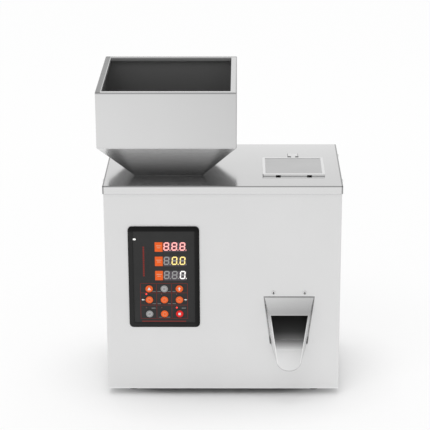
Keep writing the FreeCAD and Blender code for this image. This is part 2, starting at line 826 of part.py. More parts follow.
def screw(name, axis, seat, sense, grip):
    """A pan-head screw: seat is the point under its head, sense +1 when the shank runs along the axis."""
    position = {"X": 0, "Y": 1, "Z": 2}[axis]
    head_start = list(seat)
    shank_start = list(seat)
    if sense > 0:
        head_start[position] = f"({seat[position]}) - screw_head_height"
        head_radii = ("screw_head_crown", "screw_head_radius")
    else:
        shank_start[position] = f"({seat[position]}) - ({grip})"
        head_radii = ("screw_head_radius", "screw_head_crown")
    head = cone(name + "_head", axis, head_start, "screw_head_height", *head_radii)
    shank = rod(name + "_shank", axis, shank_start, grip, "casing_screw_radius")
    return join(name, head, shank)


def make_casing_screws():
    """Screws that hold the cover at its sides and the back panel at its flanges."""
    screws = []
    grip = "casing_screw_length"
    for number, (y, z) in enumerate(COVER_SCREW_PLACES, start=1):
        left_seat = (f"{LEFT} - cover_gap - sheet_gauge", y, z)
        right_seat = (f"{RIGHT} + cover_gap + sheet_gauge", y, z)
        screws.append(screw(f"cover_screw_left_{number}", "X", left_seat, 1, grip))
        screws.append(screw(f"cover_screw_right_{number}", "X", right_seat, -1, grip))
    for number, (x, z) in enumerate(BACK_SCREW_PLACES, start=1):
        screws.append(screw(f"back_screw_{number}", "Y", (x, BACK, z), -1, grip))
    keep(join("casing_screws", *screws), "casing_screws")


HINGE_Y = "(lid_front + lid_depth + hinge_offset)"
HINGE_Z = f"({COVER_TOP} + hinge_height)"
HINGE_MIDDLE = "(lid_left + lid_width / 2 + hinge_shift)"


def make_access_lid():
    """The hatch's lid: a shallow pan with a sunk field, a skirt in the hatch and one hinge knuckle."""
    bottom = f"{COVER_TOP} + lid_gap"
    across = ("lid_left", "lid_left + lid_width")
    along = ("lid_front", "lid_front + lid_depth")
    body = plate("lid_pan", "XY", bottom, rectangle(across, along), "lid_height")
    round_edges(body, "lid_corners", "lid_corner", lambda edge: runs_along(edge, "z"))
    top = value(f"{bottom} + lid_height")
    round_edges(body, "lid_top_edge", "lid_edge", lambda edge: edge.BoundBox.ZMin > top - 1e-6)
    field = rectangle(
        (f"{across[0]} + lid_border", f"{across[1]} - lid_border"),
        (f"{along[0]} + lid_border", f"{along[1]} - lid_border"),
    )
    pocket(body, outline(body, "lid_field", "XY", f"{bottom} + lid_height - lid_recess", field), "XY",
           "lid_recess")
    hollow = rectangle(
        (f"{across[0]} + lid_wall", f"{across[1]} - lid_wall"),
        (f"{along[0]} + lid_wall", f"{along[1]} - lid_wall")
    )
    hollow_depth = "lid_height - lid_recess - lid_wall"
    pocket(body, outline(body, "lid_hollow", "XY", bottom, hollow), "XY", hollow_depth)
    skirt_bottom = f"{COVER_TOP} - skirt_drop"
    left, right = (f"{HATCH[0][0]} + skirt_gap", f"{HATCH[0][1]} - skirt_gap")
    front, back = (f"{HATCH[1][0]} + skirt_gap", f"{HATCH[1][1]} - skirt_gap")
    skirt = [
        (left, front),
        (right, front),
        (right, back),
        (f"{right} - lid_wall", back),
        (f"{right} - lid_wall", f"{front} + lid_wall"),
        (f"{left} + lid_wall", f"{front} + lid_wall"),
        (f"{left} + lid_wall", back),
        (left, back),
    ]
    skirt_height = f"skirt_drop + lid_gap + {hollow_depth} + lid_wall / 2"
    pad(body, outline(body, "lid_skirt", "XY", skirt_bottom, skirt), "XY", skirt_height)
    knuckle_width = "(hinge_width - 2 * hinge_knuckle - 2 * cover_gap)"
    start = f"{HINGE_MIDDLE} - {knuckle_width} / 2"
    knuckle = rod("lid_knuckle", "X", (start, HINGE_Y, HINGE_Z), knuckle_width, "hinge_radius")
    arm = block(
        "lid_knuckle_arm",
        around(HINGE_MIDDLE, knuckle_width),
        ("lid_front + lid_depth - lid_wall", HINGE_Y),
        (f"{HINGE_Z} - lid_wall / 2", f"{HINGE_Z} + lid_wall / 2"),
    )
    bore = rod("lid_knuckle_bore", "X", (start, HINGE_Y, HINGE_Z), knuckle_width,
               "hinge_pin_radius + running_gap")
    keep(carve("access_lid", join("lid_solid", body, knuckle, arm), bore), "access_lid")


def make_lid_hinge():
    """The fixed leaf behind the lid, with two knuckles, and the pin through all three."""
    across = around(HINGE_MIDDLE, "hinge_width")
    leaf = block("leaf_sheet", across, (HINGE_Y, f"{HINGE_Y} + leaf_length"),
                 (COVER_TOP, f"{COVER_TOP} + leaf_gauge"))
    notch = block(
        "leaf_notch",
        around(HINGE_MIDDLE, "hinge_width - 2 * hinge_knuckle"),
        (f"{HINGE_Y} - hinge_radius", f"{HINGE_Y} + hinge_radius + cover_gap"),
        (COVER_TOP, f"{HINGE_Z} + hinge_radius"),
    )
    parts = [carve("leaf_notched", leaf, notch)]
    bores = []
    for name, start in (("left", across[0]), ("right", f"{across[1]} - hinge_knuckle")):
        parts.append(rod(f"leaf_knuckle_{name}", "X", (start, HINGE_Y, HINGE_Z), "hinge_knuckle",
                         "hinge_radius"))
        web = (start, f"{start} + hinge_knuckle")
        behind = (HINGE_Y, f"{HINGE_Y} + hinge_radius")
        parts.append(block(f"leaf_web_{name}", web, behind, (f"{COVER_TOP} + leaf_gauge / 2", HINGE_Z)))
        bores.append(rod(f"leaf_bore_{name}", "X", (start, HINGE_Y, HINGE_Z), "hinge_knuckle",
                         "hinge_pin_radius"))
    keep(carve("lid_hinge_leaf", join("leaf_solid", *parts), *bores), "lid_hinge_leaf")
    pin = rod("lid_hinge_pin", "X", (across[0], HINGE_Y, HINGE_Z), "hinge_width", "hinge_pin_radius")
    keep(pin, "lid_hinge_pin")


HOPPER_CENTRE = ("hopper_centre_x", "hopper_centre_y")
HOPPER_SHOULDER = f"({COVER_TOP} + hopper_cone_height)"
HOPPER_TOP = f"({HOPPER_SHOULDER} + hopper_box_height)"


def hopper_form(name, inset, top, bottom):
    """The hopper's form, shrunk by an inset: a box on a pyramid on a short collar."""
    box = (
        around(HOPPER_CENTRE[0], "hopper_width", f"-({inset})"),
        around(HOPPER_CENTRE[1], "hopper_depth", f"-({inset})"),
    )
    collar = (
        around(HOPPER_CENTRE[0], "neck_width", f"-({inset})"),
        around(HOPPER_CENTRE[1], "neck_depth", f"-({inset})"),
    )
    return join(
        name,
        block(name + "_box", *box, (HOPPER_SHOULDER, top)),
        frustum(name + "_pyramid", HOPPER_CENTRE, ("neck_width", "neck_depth", "0"),
                ("hopper_width", "hopper_depth", "0"), (COVER_TOP, HOPPER_SHOULDER), inset),
        block(name + "_collar", *collar, (bottom, COVER_TOP)),
    )


def make_hopper():
    """The open hopper, with a rim turned inwards and a short lip turned down from it."""
    bottom = f"{COVER_TOP} - collar_depth"
    outside = hopper_form("hopper_outside", "0", HOPPER_TOP, bottom)
    inside = hopper_form("hopper_inside", "hopper_gauge", f"{HOPPER_TOP} - hopper_gauge",
                         f"{bottom} - overcut")

    def ring(name, outer, inner, up):
        solid = block(
            name + "_outer",
            around(HOPPER_CENTRE[0], "hopper_width", f"-({outer})"),
            around(HOPPER_CENTRE[1], "hopper_depth", f"-({outer})"),
            up,
        )
        hole = block(
            name + "_inner",
            around(HOPPER_CENTRE[0], "hopper_width", f"-({inner})"),
            around(HOPPER_CENTRE[1], "hopper_depth", f"-({inner})"),
            up,
        )
        return carve(name, solid, hole)

    mouth = block(
        "hopper_mouth",
        around(HOPPER_CENTRE[0], "hopper_width", "-hopper_rim_width"),
        around(HOPPER_CENTRE[1], "hopper_depth", "-hopper_rim_width"),
        (f"{HOPPER_TOP} - 2 * hopper_gauge", HOPPER_TOP),
    )
    shell = carve("hopper_shell", outside, inside, mouth)
    lip = ring("hopper_lip", "hopper_rim_width - hopper_gauge", "hopper_rim_width",
               (f"{HOPPER_TOP} - hopper_lip_drop", f"{HOPPER_TOP} - hopper_gauge / 2"))
    keep(join("hopper", shell, lip), "hopper")


GATE_SIDE = (f"{THROAT_RIGHT} + cover_gap", f"{THROAT_RIGHT} + cover_gap + gate_gauge")


def make_feed_chute():
    """The funnel from the hopper's collar to the tray, hung on studs that are welded under the cover."""
    flange_bottom = f"({CASING_TOP} - sheet_gauge)"
    mouth_bottom = f"({flange_bottom} - chute_mouth_depth)"
    mouth = ("(neck_width + 2 * cover_gap + 2 * sheet_gauge)",
             "(neck_depth + 2 * cover_gap + 2 * sheet_gauge)")

    def form(name, inset, over):
        throat = (
            around(HOPPER_CENTRE[0], "throat_width", f"-({inset})"),
            around(HOPPER_CENTRE[1], "throat_depth", f"-({inset})"),
        )
        neck = (
            around(HOPPER_CENTRE[0], mouth[0], f"-({inset})"),
            around(HOPPER_CENTRE[1], mouth[1], f"-({inset})"),
        )
        return join(
            name,
            block(name + "_neck", *neck, (mouth_bottom, f"{CASING_TOP} + {over}")),
            frustum(name + "_cone", HOPPER_CENTRE, ("throat_width", "throat_depth", "0"), (*mouth, "0"),
                    (THROAT_TOP, mouth_bottom), inset),
            block(name + "_throat", *throat, (f"{THROAT_BOTTOM} - {over}", THROAT_TOP)),
        )

    flange = block(
        "chute_flange_plate",
        around(HOPPER_CENTRE[0], mouth[0], "chute_flange"),
        around(HOPPER_CENTRE[1], mouth[1], "chute_flange"),
        (flange_bottom, CASING_TOP),
    )
    window = block(
        "chute_window",
        (f"{THROAT_RIGHT} - 2 * sheet_gauge", f"{THROAT_RIGHT} + sheet_gauge"),
        around("hopper_centre_y", "gate_width - 2 * gate_guide"),
        (f"{THROAT_BOTTOM} - overcut", f"{THROAT_BOTTOM} + gate_travel"),
    )
    holes = [
        rod(f"chute_stud_hole_{number}", "Z", (x, y, flange_bottom), "sheet_gauge", "stud_radius + cover_gap")
        for number, (x, y) in enumerate(STUD_PLACES, start=1)
    ]
    guides = []
    for number, side in enumerate((-1, 1), start=1):
        edge = f"(hopper_centre_y + {side} * (gate_width / 2 + cover_gap))"
        outer = f"({edge} + {side} * gate_guide)"
        lip = f"({edge} - {side} * gate_guide)"
        order = (edge, outer) if side > 0 else (outer, edge)
        lip_order = (lip, outer) if side > 0 else (outer, lip)
        far = f"({GATE_SIDE[1]} + cover_gap)"
        up = (THROAT_BOTTOM, THROAT_TOP)
        guides.append(block(f"gate_guide_{number}", (THROAT_RIGHT, far), order, up))
        guides.append(block(f"gate_guide_lip_{number}", (far, f"{far} + sheet_gauge"), lip_order, up))
    solid = join("chute_solid", form("chute_outside", "0", "0"), flange, *guides)
    keep(carve("feed_chute", solid, form("chute_inside", "sheet_gauge", "overcut"), window, *holes),
         "feed_chute")
    nuts = []
    for number, (x, y) in enumerate(STUD_PLACES, start=1):
        bottom = f"{flange_bottom} - stud_nut_height"
        nut = hexagon(f"chute_nut_{number}", "Z", (x, y, bottom), "stud_nut_height", "stud_nut_radius")
        bore = rod(f"chute_nut_bore_{number}", "Z", (x, y, bottom), "stud_nut_height",
                   "stud_radius + running_gap")
        nuts.append(carve(f"chute_nut_cut_{number}", nut, bore))
        nuts.append(rod(f"chute_stud_{number}", "Z", (x, y, f"{CASING_TOP} - stud_length"), "stud_length",
                        "stud_radius"))
    studs = doc.addObject("Part::Compound", "chute_studs")
    studs.Links = nuts
    keep(studs, "chute_studs")


def make_flow_gate():
    """The sliding plate that sets the powder's depth on the tray, with its pull knob."""
    low = f"({THROAT_BOTTOM} + cover_gap)"
    body = plate(
        "flow_gate",
        "YZ",
        GATE_SIDE[0],
        rectangle(around("hopper_centre_y", "gate_width"), (low, f"{low} + gate_height")),
        "gate_gauge",
    )
    round_edges(body, "flow_gate_corners", "gate_corner", lambda edge: runs_along(edge, "x"))
    keep(body, "flow_gate")
    middle = f"({low} + gate_height / 2)"
    start = (GATE_SIDE[1], "hopper_centre_y", middle)
    neck = rod("gate_knob_neck", "X", start, "gate_knob_neck", "gate_knob_neck_radius")
    grip = cone("gate_knob_grip", "X", (f"{GATE_SIDE[1]} + gate_knob_neck", *start[1:]),
                "gate_knob_length - gate_knob_neck", "gate_knob_radius", "gate_knob_tip_radius")
    keep(join("gate_knob", neck, grip), "gate_knob")


TRAY_BOTTOM = f"({TRAY_FLOOR} - sheet_gauge)"
BRACKET_RIGHT = "(bracket_left + bracket_length)"
BASE_TOP = f"({TRAY_BOTTOM} - spring_span + base_block_height / 2)"
BASE_BOTTOM = f"({BASE_TOP} - base_block_height)"
BASE_FRONT = "(hopper_centre_y - bracket_width / 2)"


def leaning_x(level, end):
    """X of a spring's seat at a level: the springs lean back from the tray's feed direction."""
    return f"(({end}) + ({TRAY_BOTTOM} - ({level})) * tan(spring_lean * 1 deg))"


def make_feeder_tray():
    """The vibrating trough: a folded channel with lips, closed at its back end."""
    low = TRAY_BOTTOM
    floor = f"({low} + sheet_gauge)"
    top = f"({low} + sheet_gauge + tray_wall)"
    half = "tray_width / 2"
    wall = f"({half} - sheet_gauge)"
    lip = f"({half} + tray_lip)"
    middle = "hopper_centre_y"
    right_side = [
        (f"{middle} + {half}", low),
        (f"{middle} + {half}", f"{top} - sheet_gauge"),
        (f"{middle} + {lip}", f"{top} - sheet_gauge"),
        (f"{middle} + {lip}", top),
        (f"{middle} + {wall}", top),
        (f"{middle} + {wall}", floor),
    ]
    left_side = [(across.replace(f"{middle} +", f"{middle} -"), up) for across, up in reversed(right_side)]
    body = plate("feeder_tray", "YZ", "tray_left", right_side + left_side, "tray_length")
    back = rectangle(around(middle, "tray_width"), (low, top))
    pad(body, outline(body, "tray_end", "YZ", "tray_left - sheet_gauge", back), "YZ", "2 * sheet_gauge")
    low_value = value(low)
    round_edges(
        body,
        "tray_bends",
        "bend_radius / 2",
        lambda edge: runs_along(edge, "x") and edge.BoundBox.ZMax < low_value + 1e-6,
    )
    keep(body, "feeder_tray")


def spring_seats():
    """For each spring end: its name, end plane, outward sense and the middle level of its clamp."""
    tray_level = f"({TRAY_BOTTOM} - bracket_height / 2)"
    base_level = f"({BASE_TOP} - base_block_height / 2)"
    return [
        ("tray_left", "bracket_left", -1, tray_level),
        ("tray_right", BRACKET_RIGHT, 1, tray_level),
        ("base_left", "bracket_left", -1, base_level),
        ("base_right", BRACKET_RIGHT, 1, base_level),
    ]


def lean(item, origin, shift):
    """Turn a piece to the springs' slope about a seat, shifted along the seat's normal and its slope."""
    item.Placement = FreeCAD.Placement(
        FreeCAD.Vector(), FreeCAD.Rotation(FreeCAD.Vector(0, -1, 0), value("spring_lean"))
    )
    item.setExpression("Placement.Rotation.Angle", bind("spring_lean * 1 deg"))
    cosine = "cos(spring_lean * 1 deg)"
    sine = "sin(spring_lean * 1 deg)"
    normal, across, slope = shift
    place(
        item,
        f"({origin[0]}) + ({normal}) * {cosine} - ({slope}) * {sine}",
        f"({origin[1]}) + ({across})",
        f"({origin[2]}) + ({normal}) * {sine} + ({slope}) * {cosine}",
    )
    return item


def leaning_block(name, origin, normal, across, slope):
    """A box in the springs' own directions: normal to the leaf, across it and along its slope."""
    item = doc.addObject("Part::Box", name)
    for side, (low, high) in zip(("Length", "Width", "Height"), (normal, across, slope)):
        item.setExpression(side, bind(f"({high}) - ({low})"))
    return lean(item, origin, (normal[0], across[0], slope[0]))


def leaning_bolt(name, origin, start, length, across, radius):
    """A cylinder along the leaf's normal, made as a turned rod."""
    item = doc.addObject("Part::Cylinder", name)
    item.setExpression("Radius", bind(radius))
    item.setExpression("Height", bind(length))
    cosine = "cos(spring_lean * 1 deg)"
    sine = "sin(spring_lean * 1 deg)"
    item.Placement = FreeCAD.Placement(
        FreeCAD.Vector(), FreeCAD.Rotation(FreeCAD.Vector(0, 1, 0), 90 - value("spring_lean"))
    )
    item.setExpression("Placement.Rotation.Angle", bind("90 deg - spring_lean * 1 deg"))
    place(
        item,
        f"({origin[0]}) + ({start}) * {cosine}",
        f"({origin[1]}) + ({across})",
        f"({origin[2]}) + ({start}) * {sine}",
    )
    return item


def make_feeder_drive():
    """Bracket, leaf springs, clamps, bolts and the heavy base block of the vibrating feeder."""
    seat_holes = []
    clamps = {"tray": [], "base": []}
    bolts = {"tray": [], "base": []}
    spring_holes = []
    for name, end, sense, level in spring_seats():
        owner = name.split("_")[0]
        origin = (leaning_x(level, end), "hopper_centre_y", level)
        near = "spring_gauge" if sense > 0 else "-spring_gauge - clamp_bar"
        far = "spring_gauge + clamp_bar" if sense > 0 else "-spring_gauge"
        bar = leaning_block(f"clamp_{name}", origin, (near, far), ("-bracket_width / 2", "bracket_width / 2"),
                            ("-clamp_bar_height / 2", "clamp_bar_height / 2"))
        bar_holes = []
        for side in (-1, 1):
            across = f"{side} * clamp_bolt_pitch / 2"
            tag = f"{name}_{'front' if side < 0 else 'back'}"
            length = "spring_gauge + clamp_bar + bracket_wall"
            start = "-bracket_wall" if sense > 0 else "-spring_gauge - clamp_bar"
            shank = leaning_bolt(f"bolt_shank_{tag}", origin, start, length, across, "clamp_bolt_radius")
            outward = "spring_gauge + clamp_bar"
            head_start = outward if sense > 0 else f"-({outward}) - clamp_head_height"
            head = leaning_bolt(f"bolt_head_{tag}", origin, head_start, "clamp_head_height", across,
                                "clamp_head_radius")
            bolts[owner].append(join(f"bolt_{tag}", shank, head))
            loose = "clamp_bolt_radius + running_gap"
            hole = leaning_bolt(f"bolt_hole_{tag}", origin, start, length, across, loose)
            bar_holes.append(hole)
        clamps[owner].append(carve(f"clamp_bar_{name}", bar, *bar_holes))
        seat_holes.append((owner, bar_holes))
        spring_holes.append(bar_holes)
    springs = []
    for name, end, sense, pair in (
        ("left", "bracket_left", -1, (0, 2)),
        ("right", BRACKET_RIGHT, 1, (1, 3)),
    ):
        top_origin = (leaning_x(TRAY_BOTTOM, end), "hopper_centre_y", TRAY_BOTTOM)
        normal = ("0", "spring_gauge") if sense > 0 else ("-spring_gauge", "0")
        reach = "(spring_span + clamp_bar_height / 2) / cos(spring_lean * 1 deg)"
        leaf = leaning_block(f"leaf_{name}", top_origin, normal, ("-bracket_width / 2", "bracket_width / 2"),
                             (f"-{reach}", "-spring_gauge / 2"))
        springs.append(carve(f"leaf_cut_{name}", leaf, *spring_holes[pair[0]], *spring_holes[pair[1]]))
    keep(join("leaf_springs", *springs), "leaf_springs")

    def channel(name, low, high, hollow):
        corners = [
            (leaning_x(low, "bracket_left"), low),
            (leaning_x(low, BRACKET_RIGHT), low),
            (leaning_x(high, BRACKET_RIGHT), high),
            (leaning_x(high, "bracket_left"), high),
        ]
        body = plate(name + "_body", "XZ", BASE_FRONT, corners, "bracket_width")
        if hollow:
            inside = rectangle(
                (f"{leaning_x(low, 'bracket_left')} + bracket_wall * 2",
                 f"{leaning_x(high, BRACKET_RIGHT)} - bracket_wall * 2"),
                (f"{BASE_FRONT} + bracket_wall", f"{BASE_FRONT} + bracket_width - bracket_wall"),
            )
            pocket(body, outline(body, name + "_hollow", "XY", low, inside), "XY",
                   "bracket_height - bracket_wall")
        return body

    bracket = channel("tray_bracket", f"({TRAY_BOTTOM} - bracket_height)", TRAY_BOTTOM, True)
    holes = [hole for owner, group in seat_holes if owner == "tray" for hole in group]
    keep(carve("tray_bracket", bracket, *holes), "tray_bracket")
    base = channel("feeder_base", BASE_BOTTOM, BASE_TOP, False)
    holes = [hole for owner, group in seat_holes if owner == "base" for hole in group]
    keep(carve("feeder_base", base, *holes), "feeder_base")
    for owner in ("tray", "base"):
        keep(join(f"{owner}_spring_clamps", *clamps[owner]), f"{owner}_spring_clamps")
        keep(join(f"{owner}_clamp_bolts", *bolts[owner]), f"{owner}_clamp_bolts")


MAGNET_LEFT = "(bracket_left + bracket_length / 2)"
CORE_LEG = "(magnet_height / 5)"


def make_magnet():
    """The electromagnet on the base block and the armature plate that hangs from the bracket."""
    channel_roof = f"({TRAY_BOTTOM} - bracket_wall)"
    armature = plate(
        "armature_plate",
        "YZ",
        f"{MAGNET_LEFT} - armature_gauge - magnet_gap",
        rectangle(
            around("hopper_centre_y", "magnet_width"),
            (f"{BASE_TOP} + armature_lift", channel_roof),
        ),
        "armature_gauge",
    )
    keep(armature, "armature_plate")
    legs = plate(
        "magnet_core",
        "YZ",
        MAGNET_LEFT,
        rectangle(around("hopper_centre_y", "magnet_width"), (BASE_TOP, f"{BASE_TOP} + magnet_height")),
        "magnet_width + 2 * armature_gauge",
    )
    for name, below in (("lower", 1), ("upper", 3)):
        slot = rectangle(
            (MAGNET_LEFT, f"{MAGNET_LEFT} + magnet_width"),
            (f"{BASE_TOP} + {below} * {CORE_LEG}", f"{BASE_TOP} + ({below} + 1) * {CORE_LEG}"),
        )
        sketch = outline(legs, f"core_slot_{name}", "XZ", "hopper_centre_y - magnet_width / 2", slot)
        pocket(legs, sketch, "XZ", "magnet_width")
    keep(legs, "magnet_core")
    turns = block(
        "coil_turns",
        (f"{MAGNET_LEFT} + armature_gauge / 2", f"{MAGNET_LEFT} + magnet_width - cover_gap"),
        around("hopper_centre_y", "magnet_width", "coil_overhang"),
        (f"{BASE_TOP} + {CORE_LEG} + cover_gap", f"{BASE_TOP} + 4 * {CORE_LEG} - cover_gap"),
    )
    leg = block(
        "coil_leg",
        (MAGNET_LEFT, f"{MAGNET_LEFT} + magnet_width"),
        around("hopper_centre_y", "magnet_width", "cover_gap"),
        (f"{BASE_TOP} + 2 * {CORE_LEG} - cover_gap", f"{BASE_TOP} + 3 * {CORE_LEG} + cover_gap"),
    )
    keep(carve("magnet_coil", turns, leg), "magnet_coil")


STAND_MIDDLE = leaning_x(BASE_BOTTOM, "bracket_left + bracket_length / 2")
STAND_TOP = f"({BASE_BOTTOM} - mount_height)"


def make_stand():
    """The folded stand over the power supply, with four rubber mounts under the base block."""
    half = "stand_width / 2"
    profile = []
    for side in (-1, 1):
        run = [
            (f"{STAND_MIDDLE} + {side} * ({half} + stand_flange)", PAN_TOP),
            (f"{STAND_MIDDLE} + {side} * ({half} + stand_flange)", f"{PAN_TOP} + stand_gauge"),
            (f"{STAND_MIDDLE} + {side} * {half}", f"{PAN_TOP} + stand_gauge"),
            (f"{STAND_MIDDLE} + {side} * {half}", STAND_TOP),
        ]
        profile += run if side < 0 else list(reversed(run))
    for side in (1, -1):
        run = [
            (f"{STAND_MIDDLE} + {side} * ({half} - stand_gauge)", PAN_TOP),
            (f"{STAND_MIDDLE} + {side} * ({half} - stand_gauge)", f"{STAND_TOP} - stand_gauge"),
        ]
        profile += run if side > 0 else list(reversed(run))
    body = plate("feeder_stand", "XZ", "hopper_centre_y - stand_depth / 2", profile, "stand_depth")
    keep(body, "feeder_stand")
    mounts = []
    for number, (side_x, side_y) in enumerate(((-1, -1), (1, -1), (-1, 1), (1, 1)), start=1):
        x = f"{STAND_MIDDLE} + {side_x} * mount_pitch_x / 2"
        y = f"hopper_centre_y + {side_y} * (bracket_width / 2 - mount_radius)"
        lower = cone(f"mount_lower_{number}", "Z", (x, y, STAND_TOP), "mount_height / 2", "mount_radius",
                     "mount_waist")
        upper = cone(f"mount_upper_{number}", "Z", (x, y, f"{STAND_TOP} + mount_height / 2"),
                     "mount_height / 2",
                     "mount_waist", "mount_radius")
        mounts.append(join(f"mount_{number}", lower, upper))
    keep(join("isolation_mounts", *mounts), "isolation_mounts")


def make_power_supply():
    """The boxed power supply under the stand, with vent slots in its top."""
    across = around(STAND_MIDDLE, "supply_width")
    along = around("hopper_centre_y", "supply_depth")
    body = plate("power_supply", "XY", PAN_TOP, rectangle(across, along), "supply_height")
    top = f"{PAN_TOP} + supply_height - sheet_gauge"
    first = (f"{across[0]} + vent_pitch", f"{across[0]} + vent_pitch + vent_slot")
    slot = outline(body, "supply_slot", "XY", top,
                   rectangle(first, around("hopper_centre_y", "supply_slot_length")))
    cut = pocket(body, slot, "XY", "sheet_gauge")
    repeat(body, "supply_slots", cut, slot, "supply_width - 2 * vent_pitch - vent_slot",
           "supply_vent_count")
    keep(body, "power_supply")


CELL_LEFT = "(outlet_centre_x - cell_length / 2 + cell_shift)"
CELL_RIGHT = f"({CELL_LEFT} + cell_length)"
CELL_BACK = "(cell_front + cell_section)"
CELL_TOP = "(cell_bottom + cell_section)"
CELL_SCREWS = [
    f"({CELL_LEFT} + cell_screw_inset)",
    f"({CELL_LEFT} + cell_screw_inset + cell_screw_pitch)",
    f"({CELL_RIGHT} - cell_screw_inset - cell_screw_pitch)",
    f"({CELL_RIGHT} - cell_screw_inset)",
]
CELL_MIDDLE_Y = "(cell_front + cell_section / 2)"
COLUMN_LEFT = f"({CELL_LEFT} - column_gauge)"


def make_load_cell():
    """The bar load cell, thinned by two joined bores, on its column and under the bucket's hanger."""
    body = plate(
        "load_cell",
        "XZ",
        "cell_front",
        rectangle((CELL_LEFT, CELL_RIGHT), ("cell_bottom", CELL_TOP)),
        "cell_section",
    )
    middle = f"({CELL_LEFT} + cell_length / 2)"
    level = "(cell_bottom + cell_section / 2)"
    bores = circles(body, "cell_bores", "XZ", "cell_front",
                    [(f"{middle} - cell_section / 2", level), (f"{middle} + cell_section / 2", level)],
                    "cell_bore_radius")
    pocket(body, bores, "XZ", "cell_section")
    slot = rectangle(around(middle, "cell_section"), around(level, "cell_link_height"))
    link = outline(body, "cell_link", "XZ", "cell_front", slot)
    pocket(body, link, "XZ", "cell_section")
    screws = circles(body, "cell_screw_holes", "XY", "cell_bottom", [(x, CELL_MIDDLE_Y) for x in CELL_SCREWS],
                     "cell_screw_radius + slip_gap")
    pocket(body, screws, "XY", "cell_section")
    keep(body, "load_cell")

    column_top = "cell_bottom - cell_seat"
    left = COLUMN_LEFT
    right = f"({left} + column_width)"
    front = f"({CELL_MIDDLE_Y} - column_depth / 2)"
    back = f"({front} + column_depth)"
    corners = [
        (left, front),
        (right, front),
        (right, f"{front} + column_gauge"),
        (f"{left} + column_gauge", f"{front} + column_gauge"),
        (f"{left} + column_gauge", f"{back} - column_gauge"),
        (right, f"{back} - column_gauge"),
        (right, back),
        (left, back),
    ]
    column = plate("column", "XY", PAN_TOP, corners, f"{column_top} - {PAN_TOP}")
    cap = rectangle((left, right), (front, back))
    pad(column, outline(column, "column_cap", "XY", f"{column_top} - column_cap", cap), "XY", "column_cap")
    seat = rectangle((CELL_LEFT, f"{CELL_LEFT} + cell_seat_length"), ("cell_front", CELL_BACK))
    pad(column, outline(column, "column_seat", "XY", column_top, seat), "XY", "cell_seat")
    foot = rectangle((left, f"{right} + column_width / 2"), (front, back))
    pad(column, outline(column, "column_foot", "XY", PAN_TOP, foot), "XY", "column_gauge")
    holes = circles(column, "column_holes", "XY", f"{column_top} - column_cap",
                    [(x, CELL_MIDDLE_Y) for x in CELL_SCREWS[:2]], "cell_screw_radius + running_gap")
    pocket(column, holes, "XY", "column_cap + cell_seat")
    keep(column, "load_cell_bracket")

    plate_bottom = f"({CELL_TOP} + cell_seat)"
    hanger_left = f"({CELL_RIGHT} - hanger_width)"
    bucket_back = "(bucket_front + bucket_depth)"
    arm = block("hanger_arm", (hanger_left, CELL_RIGHT), (bucket_back, CELL_BACK),
                (plate_bottom, f"{plate_bottom} + hanger_gauge"))
    spacer = block("hanger_spacer", (f"{CELL_RIGHT} - cell_seat_length", CELL_RIGHT),
                   ("cell_front", CELL_BACK),
                   (CELL_TOP, plate_bottom))
    face = block("hanger_face", ("outlet_centre_x - hanger_reach", CELL_RIGHT),
                 (bucket_back, f"{bucket_back} + hanger_gauge"), (plate_bottom, BUCKET_TOP))
    holes = [
        rod(f"hanger_hole_{number}", "Z", (x, CELL_MIDDLE_Y, CELL_TOP), "cell_seat + hanger_gauge",
            "cell_screw_radius + slip_gap")
        for number, x in enumerate(CELL_SCREWS[2:], start=1)
    ]
    keep(carve("bucket_hanger", join("hanger_solid", arm, spacer, face), *holes), "bucket_hanger")

    bolts = []
    for number, x in enumerate(CELL_SCREWS, start=1):
        fixed = number <= 2
        seat_z = CELL_TOP if fixed else f"({plate_bottom} + hanger_gauge)"
        grip = f"(cell_section + cell_seat + {'column_cap' if fixed else 'hanger_gauge'})"
        shank = rod(f"cell_bolt_shank_{number}", "Z", (x, CELL_MIDDLE_Y, f"{seat_z} - {grip}"), grip,
                    "cell_screw_radius")
        head = rod(f"cell_bolt_head_{number}", "Z", (x, CELL_MIDDLE_Y, seat_z), "cell_head_height",
                   "cell_head_radius")
        bolts.append(join(f"cell_bolt_{number}", shank, head))
    keep(join("load_cell_bolts", *bolts), "load_cell_bolts")


BUCKET_MIDDLE_Y = "(bucket_front + bucket_depth / 2)"
MOUTH_SHIFT = "((bucket_mouth_depth - bucket_depth) / 2)"
MOUTH_HALF = "(bucket_mouth_width / 2)"


def bucket_form(name, inset, over):
    """The bucket's form: an upright rim on a funnel whose front stays upright."""
    return join(
        name,
        block(
            name + "_rim",
            around("outlet_centre_x", "bucket_width", f"-({inset})"),
            around(BUCKET_MIDDLE_Y, "bucket_depth", f"-({inset})"),
            (BUCKET_SHOULDER, f"{BUCKET_TOP} + {over}"),
        ),
        frustum(
            name + "_cone",
            ("outlet_centre_x", BUCKET_MIDDLE_Y),
            ("bucket_mouth_width", "bucket_mouth_depth", MOUTH_SHIFT),
            ("bucket_width", "bucket_depth", "0"),
            (BUCKET_MOUTH, BUCKET_SHOULDER),
            inset,
        ),
    )


